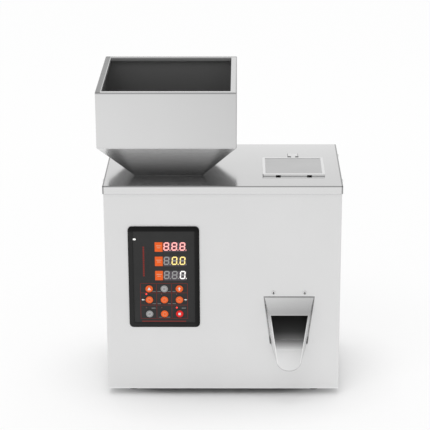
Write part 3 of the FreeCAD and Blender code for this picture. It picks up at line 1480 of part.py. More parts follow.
def make_weigh_bucket():
    """The weigh bucket with its two hinge lugs, the flap under its mouth and the flap's pin."""
    axis = ("flap_axis_y", FLAP_AXIS_Z)
    lug_near = f"({MOUTH_HALF} + flap_overlap)"
    lugs = []
    holes = []
    for number, side in enumerate((-1, 1), start=1):
        inner = f"(outlet_centre_x + {side} * {lug_near})"
        outer = f"(outlet_centre_x + {side} * ({lug_near} + lug_gauge))"
        order = (inner, outer) if side > 0 else (outer, inner)
        lugs.append(block(f"bucket_lug_{number}", order, (f"{axis[0]} - lug_front", f"{axis[0]} + lug_back"),
                          (f"{axis[1]} - lug_bottom", f"{BUCKET_MOUTH} + lug_top")))
        holes.append(rod(f"bucket_lug_hole_{number}", "X", (order[0], *axis), "lug_gauge", "flap_pin_radius"))
    solid = join("bucket_solid", bucket_form("bucket_outside", "0", "0"), *lugs)
    keep(carve("weigh_bucket", solid, bucket_form("bucket_inside", "bucket_gauge", "overcut"), *holes),
         "weigh_bucket")

    width = f"(2 * ({lug_near} - cover_gap))"
    across = around("outlet_centre_x", width)
    flap_top = f"({BUCKET_MOUTH} - flap_gap)"
    sheet = block("flap_sheet", across, ("bucket_front - flap_overlap", axis[0]),
                  (f"{flap_top} - flap_gauge", flap_top))
    knuckle = rod("flap_knuckle", "X", (across[0], *axis), width, "flap_knuckle_radius")
    lever = block("flap_lever", (across[0], f"{across[0]} + 2 * lug_gauge"),
                  (axis[0], f"{axis[0]} + lever_length"),
                  (f"{axis[1]} - flap_gauge", f"{axis[1]} + flap_gauge"))
    bore = rod("flap_bore", "X", (across[0], *axis), width, "flap_pin_radius + running_gap")
    keep(carve("bucket_flap", join("flap_solid", sheet, knuckle, lever), bore), "bucket_flap")

    reach = around("outlet_centre_x", f"2 * ({lug_near} + lug_gauge + flap_pin_tail)")
    keep(rod("flap_pin", "X", (reach[0], *axis), f"{reach[1]} - ({reach[0]})", "flap_pin_radius"), "flap_pin")


def make_flap_drive():
    """The geared motor, its bracket on the load cell's column and the crank that lifts the flap's lever."""
    axis = ("motor_axis_y", "motor_axis_z")
    face = "(motor_left + gearbox_length)"
    gearbox = block("gearbox", ("motor_left", face), around(axis[0], "gearbox_side"),
                    around(axis[1], "gearbox_side"))
    can = rod("motor_can", "X", ("motor_left - motor_length", *axis), "motor_length", "motor_radius")
    shaft_hole = rod("gearbox_shaft", "X", ("motor_left", *axis), "gearbox_length",
                     "motor_shaft_radius + running_gap")
    keep(carve("gate_motor", join("motor_solid", gearbox, can), shaft_hole), "gate_motor")

    seat = (face, f"{face} + motor_plate_gauge")
    sheet_up = around(axis[1], "gearbox_side", "motor_plate_margin")
    tab_back = f"({CELL_MIDDLE_Y} + motor_tab_offset)"
    web = block("bracket_web", seat, (f"{axis[0]} - gearbox_side / 2", tab_back), sheet_up)
    tab = block("bracket_tab", (seat[0], COLUMN_LEFT), (f"{tab_back} - column_gauge", tab_back), sheet_up)
    boss_hole = rod("bracket_boss_hole", "X", (face, *axis), "motor_plate_gauge",
                    "motor_shaft_radius + boss_gap")
    keep(carve("motor_bracket", join("bracket_solid", web, tab), boss_hole), "motor_bracket")

    arm_left = f"({seat[1]} + 2 * cover_gap)"
    shaft_length = f"gearbox_length / 2 + {arm_left} - {face} + crank_gauge"
    shaft = rod("crank_shaft", "X", (f"{face} - gearbox_length / 2", *axis), shaft_length,
                "motor_shaft_radius")
    hub = rod("crank_hub", "X", (arm_left, *axis), "crank_gauge", "crank_hub_radius")
    pin_y = "(motor_axis_y - sqrt(crank_radius * crank_radius - crank_pin_drop * crank_pin_drop))"
    pin_z = "(motor_axis_z - crank_pin_drop)"
    pin_length = f"outlet_centre_x - {MOUTH_HALF} - flap_overlap + 2 * lug_gauge + cover_gap - {arm_left}"
    pin = rod("crank_pin", "X", (arm_left, pin_y, pin_z), pin_length, "crank_pin_radius")
    eye = rod("crank_eye", "X", (arm_left, pin_y, pin_z), "crank_gauge", "crank_eye_radius")
    bar = doc.addObject("Part::Box", "crank_bar")
    bar.setExpression("Length", bind("crank_gauge"))
    bar.setExpression("Width", bind("crank_radius"))
    bar.setExpression("Height", bind("2 * crank_pin_radius"))
    bar.Placement = FreeCAD.Placement(
        FreeCAD.Vector(),
        FreeCAD.Rotation(FreeCAD.Vector(1, 0, 0), 180 + value("asin(crank_pin_drop / crank_radius)"))
    )
    bar.setExpression("Placement.Rotation.Angle", bind("180 deg + asin(crank_pin_drop / crank_radius)"))
    sine = "(crank_pin_drop / crank_radius)"
    cosine = "cos(asin(crank_pin_drop / crank_radius))"
    place(bar, arm_left, f"motor_axis_y - crank_pin_radius * {sine}",
          f"motor_axis_z + crank_pin_radius * {cosine}")
    keep(join("pusher_arm", shaft, hub, bar, pin, eye), "pusher_arm")


def profile_solid(name, corners, half):
    """A side profile in Y and Z, carried across the outlet's centre."""
    return plate(name, "YZ", f"outlet_centre_x - ({half})", corners, f"2 * ({half})")


def cheeks(name, inset):
    """The volume between the outlet's two cheeks, which spread back and up from the tip."""
    tangent = "tan(cheek_spread * 1 deg)"
    shrink = f"({inset}) / cos(cheek_spread * 1 deg)"
    item = doc.addObject("Part::Wedge", name)
    item.Placement = FreeCAD.Placement(
        FreeCAD.Vector(), FreeCAD.Rotation(FreeCAD.Vector(1, 0, 0), value("cheek_rise"))
    )
    item.setExpression("Placement.Rotation.Angle", bind("cheek_rise * 1 deg"))
    place(item, "outlet_centre_x", FRONT, "outlet_top")
    item.setExpression("Ymin", bind("-cheek_ahead"))
    item.setExpression("Ymax", bind("cheek_behind"))
    for prefix, run in (("", "-cheek_ahead"), ("2", "cheek_behind")):
        half = f"(outlet_half_width + ({run}) * {tangent} - {shrink})"
        item.setExpression(f"X{prefix}min", bind(f"-{half}"))
        item.setExpression(f"X{prefix}max", bind(half))
        item.setExpression(f"Z{prefix}min", bind("-cheek_side"))
        item.setExpression(f"Z{prefix}max", bind("cheek_side"))
    return item


TONGUE_SLOPE = "(tongue_drop / tongue_reach)"
HOOD_SLOPE = "(hood_drop / hood_reach)"
FLOOR_RISE = "(crease_reach + 2 * sheet_gauge) * floor_inner_slope"
FLOOR_NOSE = f"(outlet_bottom - crease_reach * {TONGUE_SLOPE} + {FLOOR_RISE})"
FUNNEL_NOSE = f"({FRONT} + 2 * sheet_gauge)"
PROFILE_HALF = "(funnel_half_width + profile_margin)"


def make_outlet_spout():
    """The folded spout: a hood, two cheeks, a creased floor with a round tongue, and its flange."""
    back = FUNNEL_NOSE
    hood_edge = (f"{FRONT} - hood_reach", "outlet_top - hood_drop")
    hood_back = (back, f"outlet_top + 2 * sheet_gauge * {HOOD_SLOPE}")
    tip = (f"{FRONT} - tongue_reach", "outlet_bottom - tongue_drop")
    crease = (f"{FRONT} - crease_reach", f"outlet_bottom - crease_reach * {TONGUE_SLOPE}")
    floor_back = (back, FLOOR_NOSE)
    side = [
        hood_back,
        hood_edge,
        tip,
        (FRONT, "outlet_bottom"),
        (back, "outlet_bottom"),
    ]
    outer = cheeks("spout_cheeks_outer", "0")
    inner = cheeks("spout_cheeks_inner", "sheet_gauge")
    side_block = overlap("spout_block", profile_solid("spout_side", side, PROFILE_HALF), outer)
    walls = carve("spout_walls", side_block, inner)
    hood_profile = [
        hood_back,
        hood_edge,
        (hood_edge[0], f"{hood_edge[1]} - sloped_gauge"),
        (back, f"{hood_back[1]} - sloped_gauge"),
    ]
    hood = overlap("spout_hood", profile_solid("hood_profile", hood_profile, PROFILE_HALF), outer)
    floor_profile = [
        floor_back,
        crease,
        tip,
        (tip[0], f"{tip[1]} - sloped_gauge"),
        (crease[0], f"{crease[1]} - sloped_gauge"),
        (back, f"{floor_back[1]} - sloped_gauge"),
    ]
    floor = overlap("spout_floor", profile_solid("floor_profile", floor_profile, PROFILE_HALF), outer)
    tongue = doc.addObject("Part::Cylinder", "spout_tongue")
    tongue.setExpression("Radius", bind("tongue_radius"))
    tongue.setExpression("Height", bind("sheet_gauge"))
    angle = "atan(tongue_drop / tongue_reach)"
    tongue.Placement = FreeCAD.Placement(FreeCAD.Vector(),
                                         FreeCAD.Rotation(FreeCAD.Vector(1, 0, 0), value(angle)))
    tongue.setExpression("Placement.Rotation.Angle", bind(angle))
    along_y = f"(tongue_set_back * cos({angle}) + sheet_gauge * sin({angle}))"
    along_z = f"(tongue_set_back * sin({angle}) - sheet_gauge * cos({angle}))"
    place(tongue, "outlet_centre_x", f"{tip[0]} + {along_y}", f"{tip[1]} + {along_z}")
    passage_profile = [
        (f"{back} + passage_over", f"{hood_back[1]} + passage_over * {HOOD_SLOPE} - sloped_gauge"),
        (hood_edge[0], f"{hood_edge[1]} - sloped_gauge"),
        tip,
        crease,
        floor_back,
        (f"{back} + passage_over", f"{FLOOR_NOSE} + passage_over * floor_inner_slope"),
    ]
    passage = overlap("spout_passage", profile_solid("passage_profile", passage_profile, PROFILE_HALF),
                      cheeks("passage_cheeks", "sheet_gauge"))
    flange = block("spout_flange", around("outlet_centre_x", "2 * spout_flange_side"),
                   (f"{FRONT} + sheet_gauge", back), ("spout_flange_bottom", "spout_flange_top"))
    holes = [
        rod(f"spout_hole_{number}", "Y", (x, f"{FRONT} + sheet_gauge", z), "sheet_gauge",
            "casing_screw_radius + slip_gap")
        for number, (x, z) in enumerate(SPOUT_SCREW_PLACES, start=1)
    ]
    plate_cut = carve("spout_flange_cut", flange, passage, *holes)
    keep(join("outlet_spout", plate_cut, walls, hood, floor, tongue), "outlet_spout")


def make_discharge_funnel():
    """The funnel from under the bucket to the spout, whose cheeks carry on the spout's planes."""
    nose_top = f"(outlet_top + 2 * sheet_gauge * {HOOD_SLOPE} - sloped_gauge)"
    nose = FUNNEL_NOSE

    def form(name, inset, over):
        shift = f"({inset})"
        slope = TONGUE_SLOPE
        back = f"(funnel_back - {shift})"
        floor_nose = f"({FLOOR_NOSE} - sloped_gauge + {shift} * sloped_gauge / sheet_gauge)"
        corners = [
            (back, f"funnel_top + {over}"),
            (f"funnel_shoulder + {shift}", f"funnel_top + {over}"),
            (f"funnel_shoulder + {shift}", "funnel_top - funnel_shoulder_drop"),
            (f"{nose} - {over}", f"{nose_top} + sheet_gauge - {shift}"),
            (f"{nose} - {over}", floor_nose),
            (nose, floor_nose),
            (back, f"{floor_nose} + ({back} - {nose}) * {slope}"),
        ]
        if over == "0":
            corners.pop(4)
        band = block(name + "_band", around("outlet_centre_x", "2 * funnel_half_width", f"-{shift}"),
                     (f"{nose} - {over}", "funnel_back"),
                     ("outlet_bottom - profile_margin", f"funnel_top + {over}"))
        sides = profile_solid(name + "_profile", corners, PROFILE_HALF)
        return overlap(name, sides, cheeks(name + "_cheeks", inset), band)

    outside = form("funnel_outside", "0", "0")
    inside = form("funnel_inside", "sheet_gauge", "overcut")
    flange = block("funnel_flange", around("outlet_centre_x", "2 * spout_flange_side"),
                   (nose, f"{nose} + sheet_gauge"),
                   ("spout_flange_bottom", "spout_flange_top"))
    holes = [
        rod(f"funnel_hole_{number}", "Y", (x, nose, z), "sheet_gauge", "casing_screw_radius + slip_gap")
        for number, (x, z) in enumerate(SPOUT_SCREW_PLACES, start=1)
    ]
    keep(carve("discharge_funnel", join("funnel_solid", outside, flange), inside, *holes), "discharge_funnel")
    fasteners = []
    for number, (x, z) in enumerate(SPOUT_SCREW_PLACES, start=1):
        fasteners.append(screw(f"spout_screw_{number}", "Y", (x, FRONT, z), 1, "spout_screw_length"))
        seat = (x, f"{FUNNEL_NOSE} + sheet_gauge", z)
        nut = hexagon(f"spout_nut_{number}", "Y", seat, "spout_nut_height", "spout_nut_radius")
        bore = rod(f"spout_nut_bore_{number}", "Y", seat, "spout_nut_height",
                   "casing_screw_radius + running_gap")
        fasteners.append(carve(f"spout_nut_cut_{number}", nut, bore))
    keep(join("spout_screws", *fasteners), "spout_screws")


DISPLAY_ROWS = [f"(display_bottom + {row} * display_pitch)" for row in range(3)]
KEY_COLUMNS = {"left": "key_left", "centre": "(key_left + key_pitch)", "right": "(key_left + 2 * key_pitch)"}
KEY_ROWS = {"top": "key_top", "middle": "key_middle", "bottom": "key_bottom"}
KEY_PLACES = [(x, z) for z in KEY_ROWS.values() for x in KEY_COLUMNS.values()]
LAMP_PLACES = [
    (f"(lamp_left + {column} * lamp_pitch)", z) for z in ("lamp_top", "lamp_bottom") for column in range(3)
]
LAMP_PLACES.append(("sensor_x", "sensor_z"))
SEAT_Y = f"({FRONT} - bezel_web)"
PLUG_BACK = f"({FRONT} + bezel_plug_depth)"
BOARD_FRONT = f"({FRONT} + board_stand_off)"
WINDOW = (
    ("bezel_left + bezel_frame", "bezel_left + bezel_width - bezel_frame"),
    ("bezel_bottom + bezel_frame", "bezel_bottom + bezel_height - bezel_frame"),
)
PLUG = (
    ("bezel_left + bezel_plug_inset", "bezel_left + bezel_width - bezel_plug_inset"),
    ("bezel_bottom + bezel_plug_inset", "bezel_bottom + bezel_height - bezel_plug_inset"),
)
POST_PLACES = [
    (f"(bezel_left + bezel_width / 2 + {side_x} * (bezel_width / 2 - post_inset))",
     f"(bezel_bottom + bezel_height / 2 + {side_z} * (bezel_height / 2 - post_inset))")
    for side_x in (-1, 1)
    for side_z in (-1, 1)
]


def pierce(body, name, level, depth, slack):
    """The display windows, key holes and lamp holes that the bezel and the overlay share."""
    for number, low in enumerate(DISPLAY_ROWS, start=1):
        window = rectangle(
            (f"display_left - {slack}", f"display_left + display_width + {slack}"),
            (f"{low} - {slack}", f"{low} + display_height + {slack}"),
        )
        pocket(body, outline(body, f"{name}_window_{number}", "XZ", level, window), "XZ", depth)
    keys = circles(body, f"{name}_key_holes", "XZ", level, KEY_PLACES, "key_radius + key_gap")
    pocket(body, keys, "XZ", depth)
    lamps = circles(body, f"{name}_lamp_holes", "XZ", level, LAMP_PLACES, f"lamp_radius + {slack}")
    pocket(body, lamps, "XZ", depth)


def make_panel():
    """The control panel: bezel, overlay, three displays, the board and its lamps."""
    front = f"({FRONT} - bezel_proud)"
    frame = rectangle(
        ("bezel_left", "bezel_left + bezel_width"), ("bezel_bottom", "bezel_bottom + bezel_height")
    )
    bezel = plate("panel_bezel", "XZ", front, frame, "bezel_proud")
    round_edges(bezel, "bezel_corners", "bezel_corner", lambda edge: runs_along(edge, "y"))
    face = value(front)
    round_edges(bezel, "bezel_edge", "bezel_proud / 2", lambda edge: edge.BoundBox.YMax < face + 1e-6)
    pad(bezel, outline(bezel, "bezel_plug", "XZ", FRONT, rectangle(*PLUG)), "XZ", "bezel_plug_depth")
    posts = circles(bezel, "bezel_posts", "XZ", FRONT, POST_PLACES, "post_radius")
    pad(bezel, posts, "XZ", "board_stand_off")
    pocket(bezel, outline(bezel, "bezel_seat", "XZ", front, rectangle(*WINDOW)), "XZ",
           "bezel_proud - bezel_web")
    cavity = rectangle(
        (f"{PLUG[0][0]} + bezel_plug_wall", f"{PLUG[0][1]} - bezel_plug_wall"),
        (f"{PLUG[1][0]} + bezel_plug_wall", f"{PLUG[1][1]} - bezel_plug_wall"),
    )
    hollow = outline(bezel, "bezel_cavity", "XZ", f"{FRONT} + bezel_web", cavity)
    pocket(bezel, hollow, "XZ", "bezel_plug_depth")
    again = circles(bezel, "bezel_post_roots", "XZ", f"{FRONT} + bezel_web", POST_PLACES, "post_radius")
    pad(bezel, again, "XZ", "board_stand_off - bezel_web")
    pierce(bezel, "bezel", SEAT_Y, "2 * bezel_web + overcut", "display_gap")
    keep(bezel, "panel_bezel")

    field = rectangle(
        (f"{WINDOW[0][0]} + overlay_slack", f"{WINDOW[0][1]} - overlay_slack"),
        (f"{WINDOW[1][0]} + overlay_slack", f"{WINDOW[1][1]} - overlay_slack"),
    )
    overlay = plate("panel_overlay", "XZ", f"{SEAT_Y} - overlay_gauge", field, "overlay_gauge")
    pierce(overlay, "overlay", f"{SEAT_Y} - overlay_gauge", "overlay_gauge", "display_gap")
    keep(overlay, "panel_overlay")

    displays = []
    for number, low in enumerate(DISPLAY_ROWS, start=1):
        displays.append(block(f"display_{number}", ("display_left", "display_left + display_width"),
                              (f"{SEAT_Y} - overlay_gauge / 2", BOARD_FRONT),
                              (low, f"{low} + display_height")))
    keep(join("display_modules", *displays), "display_modules")

    lamps = []
    for number, (x, z) in enumerate(LAMP_PLACES, start=1):
        front_y = f"({SEAT_Y} - overlay_gauge)"
        lamps.append(rod(f"lamp_{number}", "Y", (x, front_y, z), f"{BOARD_FRONT} - {front_y}", "lamp_radius"))
    keep(join("indicator_lamps", *lamps), "indicator_lamps")

    sheet = rectangle(
        (f"{PLUG[0][0]} + board_inset", f"{PLUG[0][1]} - board_inset"),
        (f"{PLUG[1][0]} + board_inset", f"{PLUG[1][1]} - board_inset"),
    )
    board = plate("control_board", "XZ", BOARD_FRONT, sheet, "board_gauge")
    for number, (x, z) in enumerate(KEY_PLACES, start=1):
        button = rectangle(around(x, "switch_side"), around(z, "switch_side"))
        sketch = outline(board, f"board_switch_{number}", "XZ", f"{BOARD_FRONT} - switch_height", button)
        pad(board, sketch, "XZ", "switch_height + board_gauge / 2")
    middle = "bezel_left + bezel_width / 2"
    chip = rectangle(around(middle, "chip_side"), around("display_bottom", "chip_side"))
    pad(board, outline(board, "board_chip", "XZ", f"{BOARD_FRONT} + board_gauge / 2", chip), "XZ",
        "chip_height")
    plug = rectangle(around(middle, "plug_length"), around("key_bottom", "plug_width"))
    pad(board, outline(board, "board_plug", "XZ", f"{BOARD_FRONT} + board_gauge / 2", plug), "XZ",
        "plug_height")
    keep(board, "control_board")


def make_keys():
    """Nine round push keys: a domed cap in front of a stem that reaches towards its switch."""
    for row_name, z in KEY_ROWS.items():
        for column_name, x in KEY_COLUMNS.items():
            name = f"key_{row_name}_{column_name}"
            front = f"({SEAT_Y} - overlay_gauge - key_proud)"
            body = new_body(name)
            pad(body, circles(body, name + "_cap", "XZ", front, [(x, z)], "key_radius"), "XZ", "key_cap")
            stem = circles(body, name + "_stem", "XZ", f"{front} + key_cap", [(x, z)], "key_stem_radius")
            stem_end = f"({BOARD_FRONT} - switch_height - key_travel - cover_gap)"
            pad(body, stem, "XZ", f"{stem_end} - ({front} + key_cap)")
            face = value(front)
            round_edges(body, name + "_edge", "key_edge", lambda edge, y=face: edge.BoundBox.YMax < y + 1e-6)
            keep(body, name)


def make_rear_connections():
    """The mains inlet, the rocker switch in its frame and the socket for a foot pedal."""
    outside = f"({BACK} - sheet_gauge)"
    wide, tall = INLET_CUT
    flange = block(
        "inlet_flange_plate",
        (f"{wide[0]} - inlet_flange_lap", f"{wide[1]} + inlet_flange_lap"),
        (outside, f"{outside} + inlet_flange"),
        (f"{tall[0]} - inlet_flange_lap", f"{tall[1]} + inlet_flange_lap"),
    )
    shell = block("inlet_shell", wide, (f"{outside} - inlet_depth", outside), tall)
    socket_x = f"{INLET_X} - inlet_socket_shift"
    face = f"({outside} + inlet_flange)"
    socket = block("inlet_socket", around(socket_x, "inlet_socket_width"),
                   (f"{outside} - inlet_socket_depth", face),
                   around("inlet_z", "inlet_socket_height"))
    drawer = block("inlet_fuse_seam", around(f"{INLET_X} + fuse_shift", "fuse_width"),
                   (f"{face} - fuse_groove", face),
                   around("inlet_z", "fuse_height"))
    pins = [
        block(f"inlet_pin_{number}", around(f"{socket_x} + {step} * inlet_pin_pitch", "inlet_pin_width"),
              (f"{outside} - inlet_socket_depth - overcut", f"{outside} - overcut"),
              around(f"inlet_z + {lift} * inlet_pin_lift", "inlet_pin_height"))
        for number, (step, lift) in enumerate(((-1, -1), (0, 1), (1, -1)), start=1)
    ]
    keep(join("power_inlet", carve("inlet_open", join("inlet_solid", flange, shell), socket, drawer), *pins),
         "power_inlet")

    wide, tall = SWITCH_CUT
    lap = "inlet_flange_lap"
    rim = block("switch_rim", (f"{wide[0]} - {lap}", f"{wide[1]} + {lap}"),
                (outside, f"{outside} + switch_rim_gauge"),
                (f"{tall[0]} - {lap}", f"{tall[1]} + {lap}"))
    case = block("switch_case", wide, (f"{outside} - switch_case_depth", outside), tall)
    well = block("switch_well", around(SWITCH_X, "power_switch_width", "rocker_gap"),
                 (f"{outside} - rocker_well_depth", f"{outside} + switch_rim_gauge"),
                 around("inlet_z", "power_switch_height", "2 * rocker_gap"))
    axle_y = f"({outside} - rocker_axle_depth)"
    pivots = rod("switch_pivot", "X", (wide[0], axle_y, "inlet_z"), f"({wide[1]}) - ({wide[0]})",
                 "rocker_axle_radius")
    keep(carve("switch_frame", join("switch_solid", rim, case), well, pivots), "switch_frame")

    half_tall = "power_switch_height / 2"
    paddle = plate(
        "rocker_paddle",
        "YZ",
        f"{SWITCH_X} - power_switch_width / 2",
        [
            ("-rocker_heel_depth", "-rocker_heel_height"),
            ("rocker_shoulder", f"-{half_tall}"),
            ("rocker_crest", f"-{half_tall}"),
            ("rocker_dip", "0"),
            ("rocker_crest", half_tall),
            ("rocker_shoulder", half_tall),
            ("-rocker_heel_depth", "rocker_heel_height"),
        ],
        "power_switch_width",
    )
    paddle.Placement = FreeCAD.Placement(
        FreeCAD.Vector(), FreeCAD.Rotation(FreeCAD.Vector(1, 0, 0), value("rocker_tilt"))
    )
    paddle.setExpression("Placement.Rotation.Angle", bind("rocker_tilt * 1 deg"))
    place(paddle, "0", axle_y, "inlet_z")
    axle_length = "(power_switch_width + 2 * rocker_gap + sheet_gauge)"
    axle = rod("rocker_axle", "X", (f"{SWITCH_X} - {axle_length} / 2", axle_y, "inlet_z"), axle_length,
               "rocker_axle_radius - running_gap")
    keep(join("rocker_switch", paddle, axle), "rocker_switch")

    centre = (PEDAL_X, outside, "inlet_z")
    collar = rod("pedal_collar_ring", "Y", centre, "pedal_collar", "pedal_flange_radius")
    barrel = rod("pedal_barrel", "Y", (PEDAL_X, f"{outside} - pedal_depth", "inlet_z"),
                 "pedal_depth + pedal_collar / 2",
                 "pedal_radius")
    bore = rod("pedal_bore", "Y", (PEDAL_X, f"{outside} - pedal_bore_depth", "inlet_z"),
               "pedal_bore_depth + pedal_collar", "pedal_radius - pedal_wall")
    root = f"{outside} - pedal_bore_depth - overcut"
    contacts = [
        rod(f"pedal_contact_{number}", "Y", (f"{PEDAL_X} + {across}", root, f"inlet_z + {lift}"),
            "contact_length",
            "contact_radius")
        for number, (across, lift) in enumerate(
            (("-contact_spread", "-contact_drop"), ("contact_spread", "-contact_drop"),
             ("0", "contact_rise")), start=1
        )
    ]
    keep(join("pedal_socket", carve("pedal_open", join("pedal_solid", collar, barrel), bore), *contacts),
         "pedal_socket")


def check_and_write():
    """Stop on any failed object, then write each node's shape to its own file."""
    doc.recompute()
    for item in doc.Objects:
        state = [word for word in item.State if word in ("Invalid", "Error")]
        assert not state, f"{item.Name} is {state}"
    os.makedirs("parts", exist_ok=True)
    labels = [node.Label for node in nodes]
    assert len(set(labels)) == len(labels) <= 60, "node names repeat or are too many"
    for node in nodes:
        shape = node.Shape
        assert not shape.isNull() and shape.isValid() and shape.Solids, f"{node.Label} has no valid shape"
        shape.exportStep(f"parts/{node.Label}.step")
        box = shape.BoundBox
        print(f"{node.Label:22s} solids {len(shape.Solids):2d}  x {box.XMin:7.1f} {box.XMax:7.1f}"
              f"  y {box.YMin:7.1f} {box.YMax:7.1f}  z {box.ZMin:6.1f} {box.ZMax:6.1f}")


make_base_pan()
make_casing_wrap()
make_back_panel()
make_top_cover()
make_feet()
make_casing_screws()
make_access_lid()
make_lid_hinge()
make_hopper()
make_feed_chute()
make_flow_gate()
make_feeder_tray()
make_feeder_drive()
make_magnet()
make_stand()
make_power_supply()
make_load_cell()
make_weigh_bucket()
make_flap_drive()
make_outlet_spout()
make_discharge_funnel()
make_panel()
make_keys()
make_rear_connections()
check_and_write()
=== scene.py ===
"""Looks of the powder filler: sheet finishes, panel prints, digits, keys, screws, light and camera.

Everything is in the row frame. Lengths in this file are millimetres, and a mesh is made in metres.
"""

import json
import math

import bmesh
import bpy
import numpy as np
from mathutils import Matrix, Vector


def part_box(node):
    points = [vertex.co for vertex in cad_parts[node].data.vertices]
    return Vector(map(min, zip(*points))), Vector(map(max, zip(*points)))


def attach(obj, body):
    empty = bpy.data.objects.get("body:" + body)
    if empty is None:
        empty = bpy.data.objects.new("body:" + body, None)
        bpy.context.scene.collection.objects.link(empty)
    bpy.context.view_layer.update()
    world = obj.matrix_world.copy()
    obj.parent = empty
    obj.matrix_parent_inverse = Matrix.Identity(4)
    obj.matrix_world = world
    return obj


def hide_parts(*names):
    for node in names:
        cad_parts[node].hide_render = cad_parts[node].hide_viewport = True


MM = 0.001
X, Y, Z = 0, 1, 2

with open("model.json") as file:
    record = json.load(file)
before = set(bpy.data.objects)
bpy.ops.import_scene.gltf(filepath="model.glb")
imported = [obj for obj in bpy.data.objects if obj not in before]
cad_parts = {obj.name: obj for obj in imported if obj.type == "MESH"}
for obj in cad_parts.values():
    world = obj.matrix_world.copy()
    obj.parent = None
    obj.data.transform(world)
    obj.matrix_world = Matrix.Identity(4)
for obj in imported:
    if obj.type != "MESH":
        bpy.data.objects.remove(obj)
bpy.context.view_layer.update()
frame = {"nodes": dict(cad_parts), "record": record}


def box_of(node_name):
    """The lowest and the highest corner of a CAD node in millimetres, to a hundredth."""
    return [np.round(np.array(corner) / MM, 2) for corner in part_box(node_name)]


CASING_LOW, CASING_HIGH = box_of("casing_wrap")
COVER_LOW, COVER_HIGH = box_of("top_cover")


# colours

def linear(value):
    """An sRGB level from 0 to 255 as linear light."""
    share = value / 255
    return share / 12.92 if share <= 0.04045 else ((share + 0.055) / 1.055) ** 2.4


def colour(red, green, blue):
    """A colour from three sRGB levels."""
    return (linear(red), linear(green), linear(blue), 1.0)


def grey(level):
    """A neutral colour from one sRGB level."""
    return colour(level, level, level)


def shade(base, factor):
    """A colour made darker or lighter."""
    return (*(min(1.0, part * factor) for part in base[:3]), 1.0)


# shader nodes

def new_material(name):
    """A node material and its principled shader."""
    material = bpy.data.materials.new(name)
    material.use_nodes = True
    return material, material.node_tree.nodes["Principled BSDF"]


def feed(tree, socket, source):
    """A socket set to a plain value, or linked to another node's output."""
    if isinstance(source, bpy.types.NodeSocket):
        tree.links.new(source, socket)
    else:
        socket.default_value = source


def object_place(tree):
    """The place on the object, as a vector in metres."""
    return tree.nodes.new("ShaderNodeTexCoord").outputs["Object"]


def stretched(tree, factors):
    """The place on the object with each axis multiplied by its factor."""
    mapping = tree.nodes.new("ShaderNodeMapping")
    mapping.inputs["Scale"].default_value = factors
    tree.links.new(object_place(tree), mapping.inputs["Vector"])
    return mapping.outputs["Vector"]


def along(tree, axis):
    """The place along one axis of the object."""
    parts = tree.nodes.new("ShaderNodeSeparateXYZ")
    tree.links.new(object_place(tree), parts.inputs[0])
    return parts.outputs[axis]


def noise(tree, scale, stretch=(1, 1, 1), detail=3.0, rough=0.5):
    """A noise in object coordinates that changes fastest along the axes whose factor is large."""
    texture = tree.nodes.new("ShaderNodeTexNoise")
    texture.inputs["Scale"].default_value = scale
    texture.inputs["Detail"].default_value = detail
    texture.inputs["Roughness"].default_value = rough
    tree.links.new(stretched(tree, stretch), texture.inputs["Vector"])
    return texture.outputs["Fac"]


def spread(tree, source, low, high, start=0.3, end=0.7):
    """A value between start and end mapped to the range from low to high."""
    node = tree.nodes.new("ShaderNodeMapRange")
    node.inputs["From Min"].default_value = start
    node.inputs["From Max"].default_value = end
    node.inputs["To Min"].default_value = low
    node.inputs["To Max"].default_value = high
    tree.links.new(source, node.inputs["Value"])
    return node.outputs["Result"]


def combined(tree, operation, first, second):
    """One value from two others, such as their product or the larger of them."""
    node = tree.nodes.new("ShaderNodeMath")
    node.operation = operation
    feed(tree, node.inputs[0], first)
    feed(tree, node.inputs[1], second)
    return node.outputs[0]


def blend_colours(tree, factor, first, second, way="MIX"):
    """Two colours mixed by a value: each is a colour or another node's output."""
    node = tree.nodes.new("ShaderNodeMix")
    node.data_type = "RGBA"
    node.blend_type = way
    for socket, source in ((0, factor), (6, first), (7, second)):
        feed(tree, node.inputs[socket], source)
    return node.outputs[2]


def mottled(tree, pattern, first, second):
    """Two colours mixed by a noise."""
    return blend_colours(tree, spread(tree, pattern, 0, 1), first, second)


def fill_ramp(ramp, stops):
    """A colour ramp with the given (position, colour) stops."""
    elements = ramp.color_ramp.elements
    for element, (position, tone) in zip(elements, (stops[0], stops[-1])):
        element.position = position
        element.color = tone
    for position, tone in stops[1:-1]:
        elements.new(position).color = tone


def graded(tree, axis, stops):
    """Greys along one axis of the object: stops are (place in millimetres, sRGB level)."""
    first = stops[0][0]
    last = stops[-1][0]
    ramp = tree.nodes.new("ShaderNodeValToRGB")
    tree.links.new(spread(tree, along(tree, axis), 0, 1, first * MM, last * MM), ramp.inputs["Fac"])
    fill_ramp(ramp, [((place - first) / (last - first), grey(level)) for place, level in stops])
    return ramp.outputs["Color"]


def painted(tree, tone, stops):
    """A tone multiplied by painted light and shade along given axes.

    Each entry of stops is (axis, [(place, level), ...]) or has a third value, the height in
    millimetres below which it holds.
    """
    for axis, places, *below in stops:
        share = spread(tree, along(tree, Z), 1, 0, (below[0] - 2) * MM, below[0] * MM) if below else 1.0
        tone = blend_colours(tree, share, tone, graded(tree, axis, places), "MULTIPLY")
    return tone


def bump(tree, height, strength, distance):
    """A bump from a height, with the distance in metres."""
    node = tree.nodes.new("ShaderNodeBump")
    node.inputs["Strength"].default_value = strength
    node.inputs["Distance"].default_value = distance
    tree.links.new(height, node.inputs["Height"])
    return node.outputs["Normal"]


# finishes

